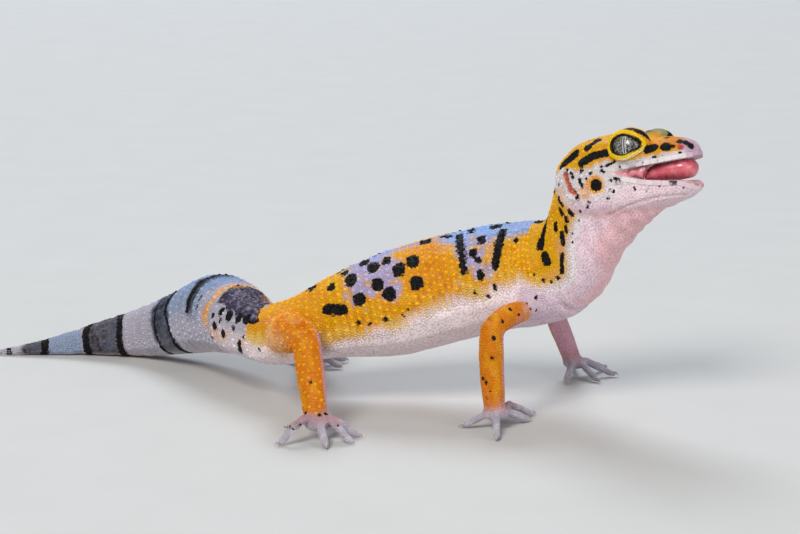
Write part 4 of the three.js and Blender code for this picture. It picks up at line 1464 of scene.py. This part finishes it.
PUPIL_BACK = 0.04                   # of the pupil behind the middle, as a share of the eyeball
PUPIL_HALF_HEIGHT = 0.52            # the same share


def iris_share(nodes, value, shift, reach):
    """The square of how far out a place of the iris lies towards its rim, along one direction."""
    share = nodes.math("DIVIDE", nodes.plus(value, shift), reach)
    return nodes.math("POWER", nodes.math("ABSOLUTE", share), 2.0)


def eye_material():
    """Silvery iris with dark veins and a narrow upright pupil, under a clear wet surface."""
    material, nodes, shader = new_material("gecko eye")
    gaze = nodes.attribute("gaze", "Vector")
    parts = nodes.add("ShaderNodeSeparateXYZ")
    nodes.set(parts.inputs, (gaze,))
    ahead, up, _ = parts.outputs
    ruffle = nodes.noise(gaze, 7.0, 3)
    bent = nodes.add("ShaderNodeVectorMath", operation="MULTIPLY_ADD")
    nodes.set(bent.inputs, (nodes.noise(gaze, 6.0, output="Color"), (0.25, 0.25, 0.25), gaze))
    veins = nodes.add("ShaderNodeTexVoronoi", feature="DISTANCE_TO_EDGE")
    nodes.feed(veins, Vector=bent.outputs[0], Scale=8.5)
    net = nodes.between(veins.outputs["Distance"], 0.07, 0.24)
    silver = nodes.mix(ruffle, opaque("iris_shade"), opaque("iris"))
    iris = nodes.mix(net, (0.012, 0.01, 0.01, 1), silver)
    sway = nodes.times(nodes.minus(nodes.noise(gaze, 16.0), 0.5), 0.06)
    away = nodes.math("ABSOLUTE", nodes.plus(nodes.plus(ahead, PUPIL_BACK), sway))
    within = nodes.minus(PUPIL_HALF_HEIGHT, nodes.math("ABSOLUTE", nodes.plus(up, 0.1)))
    border = nodes.times(nodes.between(away, 0.1, 0.075), nodes.between(within, 0.0, 0.06))
    iris = nodes.mix(nodes.times(border, 0.92), iris, (0.75, 0.74, 0.72, 1))
    slit = nodes.times(nodes.between(away, 0.052, 0.034), nodes.between(within, 0.02, 0.1))
    iris = nodes.mix(slit, iris, (0.003, 0.003, 0.003, 1))
    out = nodes.plus(iris_share(nodes, ahead, 0.16, 1.1), iris_share(nodes, up, 0.13, 0.87))
    rim = nodes.between(nodes.plus(out, nodes.times(ruffle, 0.25)), 0.9, 1.08)
    nodes.feed(shader, Base_Color=nodes.mix(rim, iris, (0.006, 0.005, 0.005, 1)),
               Roughness=nodes.plus(0.25, nodes.times(ruffle, 0.2)),
               Coat_Weight=1.0, Coat_Roughness=0.03, Coat_IOR=1.4)
    bumped(nodes, shader, net, 0.15, 0.05)
    return material


def floor_material():
    material, nodes, shader = new_material("pale floor")
    grain = nodes.noise(nodes.object_places(), 60, 3)
    base = nodes.mix(grain, (0.54, 0.535, 0.52, 1), (0.58, 0.575, 0.56, 1))
    nodes.feed(shader, Base_Color=base, Roughness=0.8)
    return material


# ---- Coat of scales ----

CROWDING = 6.5                      # trial places for each scale that finds room
UNWRAP_TRIANGLES = 12000            # of the coarse skin whose unwrap the coat follows
PATCH = 0.003                       # width of one scale's patch on the coat's unwrap
PIECE_SCALES = 16000                # the most small scales in one piece
SCALE_GAPS = {                      # distance between neighbouring small scales
    "head": 0.31, "lower_jaw": 0.33, "neck": 0.38, "trunk": 0.42,
    TAIL_PARTS: 0.43, LIMBS: 0.38, FEET: 0.3,
}
TUBERCLE_GAP = 1.4                  # in a row across the trunk
PLATE_RISE = 0.035                  # of the lips' plates over the skin
FLATTEST_DOME = 0.3                 # a scale lower than this share of its half width is shaded flat


class Skin:
    """The finished skin, for finding places on it and its values there."""

    def __init__(self, mesh, fields):
        self.tree, self.triangles = tree_of(mesh)
        self.places = places_of(mesh)
        self.normals = normals_of(mesh)
        self.fields = fields

    def corner_shares(self, triangle, places):
        """The weights of a triangle's corners at each place."""
        first, second, third = (self.places[self.triangles[triangle, corner]] for corner in range(3))
        across, up, away = second - first, third - first, places - first
        aa, au, uu = (across * across).sum(1), (across * up).sum(1), (up * up).sum(1)
        pa, pu = (away * across).sum(1), (away * up).sum(1)
        scale = np.maximum(aa * uu - au * au, 1e-12)
        second_share = (uu * pa - au * pu) / scale
        third_share = (aa * pu - au * pa) / scale
        return np.clip(np.stack([1 - second_share - third_share, second_share, third_share], 1), 0, 1)

    def weights(self, places):
        """The triangle nearest to each place, and the weights of its corners."""
        nearest, _, triangle = all_nearest(self.tree, places)
        return triangle, self.corner_shares(triangle, nearest)

    def nearest(self, places):
        return Roots(self, *self.weights(places))


class Roots:
    """Places on the skin where scales grow."""

    def __init__(self, skin, triangle, shares):
        self.corners = skin.triangles[triangle]
        self.shares = shares / shares.sum(1)[:, None]
        self.skin = skin
        self.places = self.value(skin.places)
        self.normals = units(self.value(skin.normals))

    def value(self, values):
        weights = self.shares if values.ndim == 1 else self.shares[:, :, None]
        return (values[self.corners] * weights).sum(1)

    def field(self, name):
        return self.value(self.skin.fields[name])

    def owner(self):
        return self.skin.fields["owner"][self.corners[:, 0]]

    def chosen(self, keep):
        picked = object.__new__(Roots)
        picked.corners, picked.shares, picked.skin = self.corners[keep], self.shares[keep], self.skin
        picked.places, picked.normals = self.places[keep], self.normals[keep]
        return picked


def scatter(skin, gap, seed, taken=()):
    """Roots all over the skin, no two closer than the gap there; none where the gap is 0. Round each
    taken place, given with its radius, nothing grows."""
    random = np.random.default_rng(seed)
    first, second, third = (skin.places[skin.triangles[:, corner]] for corner in range(3))
    area = lengths(np.cross(second - first, third - first)) / 2
    gaps = gap[skin.triangles]
    wanted = np.where(gaps.min(1) > 0, CROWDING * area / np.maximum(gaps.mean(1), 0.1) ** 2, 0)
    triangle = np.repeat(np.arange(len(area)), random.poisson(wanted))
    random.shuffle(triangle)
    root, along = np.sqrt(random.random(len(triangle))), random.random(len(triangle))
    roots = Roots(skin, triangle, np.stack([1 - root, root * (1 - along), root * along], 1))
    reach = roots.value(gap).tolist()
    tree = KDTree(len(triangle))
    for index, place in enumerate(roots.places.tolist()):
        tree.insert(place, index)
    tree.balance()
    free = np.ones(len(triangle), bool)
    for place, radius in taken:
        for _, other, _ in tree.find_range(place, radius):
            free[other] = False
    kept = []
    for index, place in enumerate(roots.places.tolist()):
        if free[index]:
            kept.append(index)
            for _, other, _ in tree.find_range(place, reach[index]):
                free[other] = False
    return roots.chosen(np.array(kept, int))


def unwrap_of(skin_object):
    """A coarse copy of the skin with its unwrap: the loops of its triangles and their points there."""
    proxy = new_object("unwrap", skin_object.data.copy())
    applied(proxy, "DECIMATE", ratio=UNWRAP_TRIANGLES / len(proxy.data.polygons))
    bpy.context.view_layer.objects.active = proxy
    for item in bpy.context.view_layer.objects:
        item.select_set(item is proxy)
    bpy.ops.object.mode_set(mode="EDIT")
    bpy.ops.mesh.select_all(action="SELECT")
    bpy.ops.uv.smart_project(angle_limit=1.15, island_margin=0.004, scale_to_bounds=True)
    bpy.ops.object.mode_set(mode="OBJECT")
    mesh = proxy.data
    coarse = Skin(mesh, {})
    loops = read(mesh.loop_triangles, "loops", 3, np.int32)
    points = read(mesh.uv_layers.active.uv, "vector", 2).astype(float)
    bpy.data.objects.remove(proxy)
    return coarse, loops, points


def unwrapped(unwrap, places):
    """Each place's point on the skin's unwrap."""
    coarse, loops, points = unwrap
    triangle, shares = coarse.weights(places)
    shares /= shares.sum(1)[:, None]
    return (points[loops[triangle]] * shares[:, :, None]).sum(1)


def shape_of(form):
    """The vertices and triangles of one small shape."""
    bmesh.ops.triangulate(form, faces=form.faces)
    form.verts.index_update()
    corners = np.array([vertex.co[:] for vertex in form.verts])
    faces = np.array([[vertex.index for vertex in face.verts] for face in form.faces])
    form.free()
    return corners, faces


def round_shape(around, upward, waist=0.0):
    """A small ball with faces around and upward, drawn in at half its height by a share: a lens, a bead
    or a blunt cone with a rounded foot."""
    form = bmesh.new()
    bmesh.ops.create_uvsphere(form, u_segments=around, v_segments=upward, radius=1)
    for vertex in form.verts:
        rise = vertex.co.z
        if waist and rise > 0:
            narrow = 1 - waist * math.sin(math.pi * rise)
            vertex.co.x *= narrow
            vertex.co.y *= narrow
    return shape_of(form)


def plate_shape():
    """A flat plate with rounded edges, for the lips."""
    form = bmesh.new()
    bmesh.ops.create_cube(form, size=2)
    bmesh.ops.bevel(form, geom=form.edges[:], offset=0.42, segments=2, profile=0.5, affect="EDGES",
                    material=-1)
    return shape_of(form)


def in_skin(roots, ways):
    """Directions turned until they lie in the skin at their roots."""
    return units(ways - roots.normals * (ways * roots.normals).sum(1)[:, None])


def body_ahead(roots):
    """The direction towards the head along the body at each root."""
    along = body_places(roots.places)[0]
    return in_skin(roots, Spine.ahead[np.abs(Spine.along[None, :] - along[:, None]).argmin(1)])


def turned_ahead(roots, random):
    """A random direction at each root."""
    return in_skin(roots, units(random.normal(size=roots.places.shape)))


def grow(name, shape, roots, ahead, sizes, look):
    """Copies one small shape to all the roots as a single piece. Sizes are half length, half width and
    height for each root; look holds the unwrap, marks, material and how the colours vary."""
    corners, faces = shape
    side = np.cross(roots.normals, ahead)
    local = corners[None] * sizes[:, None, :]
    world = roots.places[:, None] + sum(
        local[:, :, axis, None] * way[:, None] for axis, way in enumerate((ahead, side, roots.normals)))
    count, each = len(roots.places), len(corners)
    mesh = bpy.data.meshes.new(name)
    numbered = (np.arange(count)[:, None, None] * each + faces[None]).reshape(-1, 3)
    mesh.from_pydata((world * MM).reshape(-1, 3), [], numbered)
    shade_smooth(mesh)
    random = np.random.default_rng(len(name) + count)
    bright = look["brightness"] + look["variety"] * random.uniform(-1, 1, count)
    tone = roots.field("tone")[:, :3] * bright[:, None]
    warm = fade(tone[:, 0] - tone[:, 2], 0.3, 0.6) * look["yellowing"]
    tone += (linear("yellow") * 1.1 - tone) * warm[:, None]
    tone = np.column_stack([np.clip(tone, 0, 1), np.ones(count)])
    set_attribute(mesh, "tone", np.repeat(tone, each, axis=0), "FLOAT_COLOR")
    outside = darkness(roots.places, look["marks"]) + random.uniform(-0.07, 0.07, count)
    set_attribute(mesh, "dark", np.repeat(outside, each))
    patches = unwrapped(look["unwrap"], roots.places)[:, None] + corners[None, :, :2] * PATCH / 2
    layer = mesh.uv_layers.new(name="OFBake")
    layer.uv.foreach_set("vector", patches.reshape(-1, 2)[numbered.ravel()].astype(np.float32).ravel())
    mesh.materials.append(look["material"])
    item = new_object(name, mesh)
    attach(item, "root")
    return item


def row_roots(skin, rows):
    """Roots in rows across the body. Each row has its length from the head, the turn that it reaches
    on both sides and the gap between its tubercles."""
    places = []
    for number, (along, reach, gap) in enumerate(rows):
        top = on_body(skin.tree, along, 0)
        girth = np.linalg.norm(top - spine_ray(along, 0)[0])
        step = math.degrees(gap / girth)
        turns = np.arange(-reach + step * (number % 2) / 2, reach, step)
        places += met(on_body(skin.tree, along, turn) for turn in turns)
    return skin.nearest(places)


def tubercle_roots(skin):
    """Roots of the tubercles of the trunk, tail, legs and head, each group with its half width."""
    first, last, step = TRUNK_ROWS
    trunk = row_roots(skin, [(along, read_off(BELLY_EDGE, along) - 6, TUBERCLE_GAP)
                             for along in np.arange(first, last, step)])
    whorls = TAIL_RINGS_FROM + TAIL_RING * (np.arange(-1, 21) + 0.62)
    tail = row_roots(skin, [(along, 118, 1.45 - 0.5 * fade(along, 110, 150)) for along in whorls])
    hind = belongs(skin.fields["owner"], ("thigh_right", "thigh_left", "shin_right", "shin_left"))
    outer = hind * skin.fields["limb"] * fade(-skin.fields["inside"], -0.4, -0.2)
    legs = scatter(skin, np.where(outer > 0.5, 1.15, 0), 5)
    head_places = to_head(skin.places)
    temples = (skin.fields["head"] > 0.6) & (head_places[:, 0] < 8) & (head_places[:, 2] > -6)
    nape = (skin.fields["owner"] == FLESH.index("neck")) & (np.abs(body_places(skin.places)[1]) < 75)
    rear = scatter(skin, np.where(temples | nape, 0.95, 0), 6)
    return {"trunk": (trunk, 0.39), "tail": (tail, 0.4), "legs": (legs, 0.34), "head": (rear, 0.27)}


def grow_tubercles(skin, look):
    """Raised tubercles; gives back the places that they take."""
    random = np.random.default_rng(17)
    taken = []
    for part, (roots, half) in tubercle_roots(skin).items():
        count = len(roots.places)
        aside = turned_ahead(roots, random) * random.uniform(0, 0.14, count)[:, None]
        roots.places = roots.places + aside
        wide = half * random.uniform(0.82, 1.15, count)
        if part == "tail":
            wide *= 1 - 0.42 * fade(body_places(roots.places)[0], 105, 158)
        sizes = np.column_stack([wide * 1.12, wide, wide * random.uniform(0.55, 0.75, count)])
        grow(part + "_tubercles", round_shape(8, 6, 0.28), roots, body_ahead(roots), sizes,
             dict(look, brightness=1.04, yellowing=0.25))
        taken += zip(roots.places.tolist(), (wide * 0.95).tolist())
    return taken


def grow_grains(skin, look, taken):
    """Small scales over all the skin, in pieces for each part of the body."""
    owner = skin.fields["owner"]
    gap = by_owner(owner, SCALE_GAPS)
    along, turn, _ = body_places(skin.places)
    start = np.where(along < 84, read_off(BELLY_EDGE, along) + 4, 94)
    under = belongs(owner, BODY_PARTS) * fade(np.abs(turn), start, start + 14)
    chin = fade(-to_head(skin.places)[:, 2], 2, 4.5)
    under = np.maximum(under, belongs(owner, HEAD_PARTS) * chin)
    inner = (skin.fields["wet"] > 0.35) | (skin.fields["inner"] > 0.5)
    gap = np.where(inner, 0, gap * (1 + 0.08 * under))
    roots = scatter(skin, gap, 7, taken)
    random = np.random.default_rng(19)
    ahead = turned_ahead(roots, random)
    flat = roots.value(under)
    ahead = units(ahead * (1 - flat)[:, None] + body_ahead(roots) * (0.02 + flat)[:, None])
    half = roots.value(gap) * (random.uniform(0.52, 0.62, len(roots.places)) + 0.08 * flat)
    tall = half * (0.47 - 0.32 * flat) * random.uniform(0.8, 1.2, len(half))
    sizes = np.column_stack([half * (1 + 0.15 * flat), half, tall])
    owner = roots.owner()
    groups = {"head_scales": HEAD_PARTS, "neck_scales": "neck", "trunk_scales": "trunk",
              "tail_scales": TAIL_PARTS, "front_leg_scales": ("upper_arm", "forearm", "hand"),
              "hind_leg_scales": ("thigh", "shin", "foot")}
    for name, starts in groups.items():
        parts = tuple(part for part in FLESH if part.startswith(starts))
        chosen = np.flatnonzero(belongs(owner, parts) > 0.5)
        pieces = math.ceil(len(chosen) / PIECE_SCALES)
        for number, part in enumerate(np.array_split(chosen, pieces)):
            label = f"{name}_{number + 1}" if pieces > 1 else name
            item = grow(label, round_shape(6, 2), roots.chosen(part), ahead[part], sizes[part], look)
            domed = sizes[part, 2] > FLATTEST_DOME * sizes[part, 1]
            faces = len(item.data.polygons) // len(part)
            item.data.polygons.foreach_set("use_smooth", np.repeat(domed, faces))


def grow_lid_beads(skin, look):
    """Rows of beads along the lids of both eyes."""
    places = []
    for side in (1, -1):
        for outward, count in ((0.06, 54), (0.37, 61), (0.67, 67)):
            places.extend(lid_line(side, outward, LID_SPHERE + 0.5, count))
    roots = skin.nearest(places)
    sizes = np.tile([0.165, 0.165, 0.132], (len(places), 1))
    grow("lid_beads", round_shape(7, 4), roots, body_ahead(roots), sizes, dict(look, variety=0.06))
    return [(place, 0.2) for place in roots.places.tolist()]


def lip_places(skin, lip, offset, spacing):
    """Places evenly along one lip, from the corner of the mouth round the front to the other corner,
    at a height from the lip's edge."""
    line = []
    for side in (1, -1):
        half = []
        for ahead in np.arange(LIP_START, MUZZLE_CENTRE, 0.4):
            half.append(on_head(skin.tree, ahead, read_off(lip, ahead) + offset, side))
        for angle in np.radians(np.arange(90, 0, -7)):
            way = np.array([math.cos(angle), side * math.sin(angle), 0])
            up = read_off(lip, MUZZLE_CENTRE + 6 * way[0]) + offset
            start = from_head(np.array([MUZZLE_CENTRE, 0, up]) + way * 14)
            half.append(cast(skin.tree, start, -HEAD_AXES @ way))
        half = met(half)
        line += half if side > 0 else half[::-1]
    line = np.array(line)
    steps = np.append(0, np.cumsum(lengths(np.diff(line, axis=0))))
    at = np.linspace(0, steps[-1], round(steps[-1] / spacing))
    return np.column_stack([np.interp(at, steps, line[:, axis]) for axis in range(3)])


def grow_lip_plates(skin, look):
    """One row of larger plates along each lip."""
    taken = []
    for name, lip, offset, spacing, tall in (("upper_lip_plates", UPPER_LIP, 0.56, 1.3, 0.46),
                                             ("lower_lip_plates", LOWER_LIP, -0.6, 1.42, 0.48)):
        places = lip_places(skin, lip, offset, spacing)
        roots = skin.nearest(places)
        ahead = in_skin(roots, np.gradient(places, axis=0))
        sizes = np.tile([spacing * 0.57, tall, PLATE_RISE], (len(places), 1))
        grow(name, plate_shape(), roots, ahead, sizes, dict(look, brightness=0.92, variety=0.03))
        taken += [(place, spacing * 0.5) for place in roots.places.tolist()]
    return taken


def grow_coat(skin_object, fields, material):
    skin = Skin(skin_object.data, fields)
    look = {"unwrap": unwrap_of(skin_object), "marks": dark_marks(skin.tree), "material": material,
            "brightness": 1.0, "yellowing": 0.0, "variety": 0.05}
    taken = grow_tubercles(skin, look)
    taken += grow_lid_beads(skin, look)
    taken += grow_lip_plates(skin, look)
    grow_grains(skin, look, taken)


# ---- Eyes, tongue and claws ----

def make_eye(side, name, material):
    """An eyeball, with each place's direction from its middle kept for the iris."""
    centre, look, forward, upward = eye_frame(side)
    radius = EYE_RADIUS + EYE_SWELL
    form = bmesh.new()
    bmesh.ops.create_uvsphere(form, u_segments=48, v_segments=32, radius=radius * MM)
    bmesh.ops.translate(form, verts=form.verts, vec=Vector(from_head(centre) * MM))
    mesh = mesh_from(form, name)
    shade_smooth(mesh)
    away = (to_head(places_of(mesh)) - centre) / radius
    set_attribute(mesh, "gaze", away @ np.stack([forward, upward, look], 1), "FLOAT_VECTOR")
    mesh.materials.append(material)
    item = new_object(name, mesh)
    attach(item, "root")
    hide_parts("eye_left" if side > 0 else "eye_right")


def make_tongue(material):
    form = bmesh.new()
    form.from_mesh(NODES["tongue"].data)
    bmesh.ops.remove_doubles(form, verts=form.verts, dist=WELD)
    item = new_object("soft_tongue", mesh_from(form, "tongue"))
    mesh = applied(item, "REMESH", mode="VOXEL", voxel_size=TONGUE_VOXEL * MM, use_smooth_shade=True)
    places = places_of(mesh)
    places = to_head(relax(places, edges_of(mesh), np.ones(len(places)), 30))
    rise = fade(places[:, 0], 13, 17) * fade(places[:, 2], -2.5, -0.5)
    places = places * [1, 1.1, 1] + rise[:, None] * [0, 0, 0.45]
    set_places(mesh, from_head(places))
    shade_smooth(mesh)
    mesh.materials.append(material)
    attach(item, "root")
    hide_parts("tongue")


def claw_curve(tip, way):
    """A hooked, tapering claw as a filled curve."""
    curve = bpy.data.curves.new("claw", "CURVE")
    curve.dimensions = "3D"
    curve.bevel_depth = 1
    curve.bevel_resolution = 2
    curve.use_fill_caps = True
    spline = curve.splines.new("POLY")
    along = np.linspace(0, 1, 6)
    spline.points.add(len(along) - 1)
    base = tip - way * CLAW_LENGTH
    for point, share in zip(spline.points, along):
        rise = 0.36 + 0.2 * math.sin(math.pi * share) - 0.5 * share ** 2
        place = base + way * CLAW_LENGTH * share + np.array([0, 0, rise])
        point.co = (*(place * MM), 1)
        point.radius = (CLAW_ROOT * (1 - share) ** 0.7 + 0.03) * MM
    return curve


def make_claws(claws, material):
    """The claws of each hand and foot, joined into one piece."""
    for foot in FEET:
        joined = bmesh.new()
        for tip, way in [(tip, way) for tip, way, name in claws if name == foot]:
            item = new_object("claw", claw_curve(tip, way))
            mesh = final_mesh(item)
            joined.from_mesh(mesh)
            bpy.data.objects.remove(item)
            bpy.data.meshes.remove(mesh)
        bmesh.ops.remove_doubles(joined, verts=joined.verts, dist=1e-8)
        bmesh.ops.recalc_face_normals(joined, faces=joined.faces)
        mesh = mesh_from(joined, foot + "_claws")
        shade_smooth(mesh)
        mesh.materials.append(material)
        item = new_object(foot + "_claws", mesh)
        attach(item, "root")


# ---- Camera, floor and light ----

CAMERA_AIM = (0, -20, 31.19)        # from the working origin
CAMERA_DISTANCE = 500
CAMERA_RISE = 11                    # degrees above level
LENS = 119.25
SENSOR_WIDTH = 36


def place_facing(item, at, back):
    """Puts a camera or light at a place, its back turned in a direction."""
    item.location = at
    item.rotation_euler = back.to_track_quat("Z", "Y").to_euler()


def make_camera():
    data = bpy.data.cameras.new("camera")
    data.lens = LENS
    data.sensor_width = SENSOR_WIDTH
    data.clip_start = 0.01
    camera = new_object("camera", data)
    rise = math.radians(CAMERA_RISE)
    back = Vector((0, -math.cos(rise), math.sin(rise)))
    place_facing(camera, Vector(np.array(CAMERA_AIM) + ORIGIN) * MM + back * CAMERA_DISTANCE * MM, back)
    bpy.context.scene.camera = camera


def make_light(name, at, aim, size, power, colour=(1, 1, 1)):
    data = bpy.data.lights.new(name, "AREA")
    data.shape = "DISK"
    data.size = size
    data.energy = power
    data.color = colour
    place_facing(new_object(name, data), at, Vector(at) - Vector(aim))


def make_stage():
    floor = bmesh.new()
    bmesh.ops.create_grid(floor, x_segments=1, y_segments=1, size=3)
    item = new_object("floor", mesh_from(floor, "floor"))
    item.data.materials.append(floor_material())
    world = bpy.data.worlds.new("studio")
    world.use_nodes = True
    background = world.node_tree.nodes["Background"]
    background.inputs["Color"].default_value = (0.84, 0.89, 0.96, 1)
    background.inputs["Strength"].default_value = 0.34
    bpy.context.scene.world = world
    bpy.context.scene.view_settings.view_transform = "Standard"
    make_light("key", (-0.6, -1.5, 1.5), (0, 0, 0.03), 0.9, 33, (1, 0.97, 0.92))
    make_light("fill", (1.5, -1.2, 0.75), (0.03, 0, 0.03), 1.2, 9)
    make_light("rim", (-0.2, 1.7, 1.8), (0, 0, 0.03), 1.2, 38, (0.84, 0.91, 1))


# ---- The whole animal ----

claws = claw_lines()
skin_object = make_skin(claws)
skin_tree, _ = tree_of(skin_object.data)
fields = mark_skin(skin_object.data, skin_tree)

markings = gecko_markings()
relief = skin_relief()
skin_object.data.materials.append(skin_material(markings, relief))
grow_coat(skin_object, fields, scale_material(markings, relief))

eye = eye_material()
make_eye(1, "eyeball_left", eye)
make_eye(-1, "eyeball_right", eye)
make_tongue(tongue_material())
make_claws(claws, claw_material())
make_camera()
make_stage()
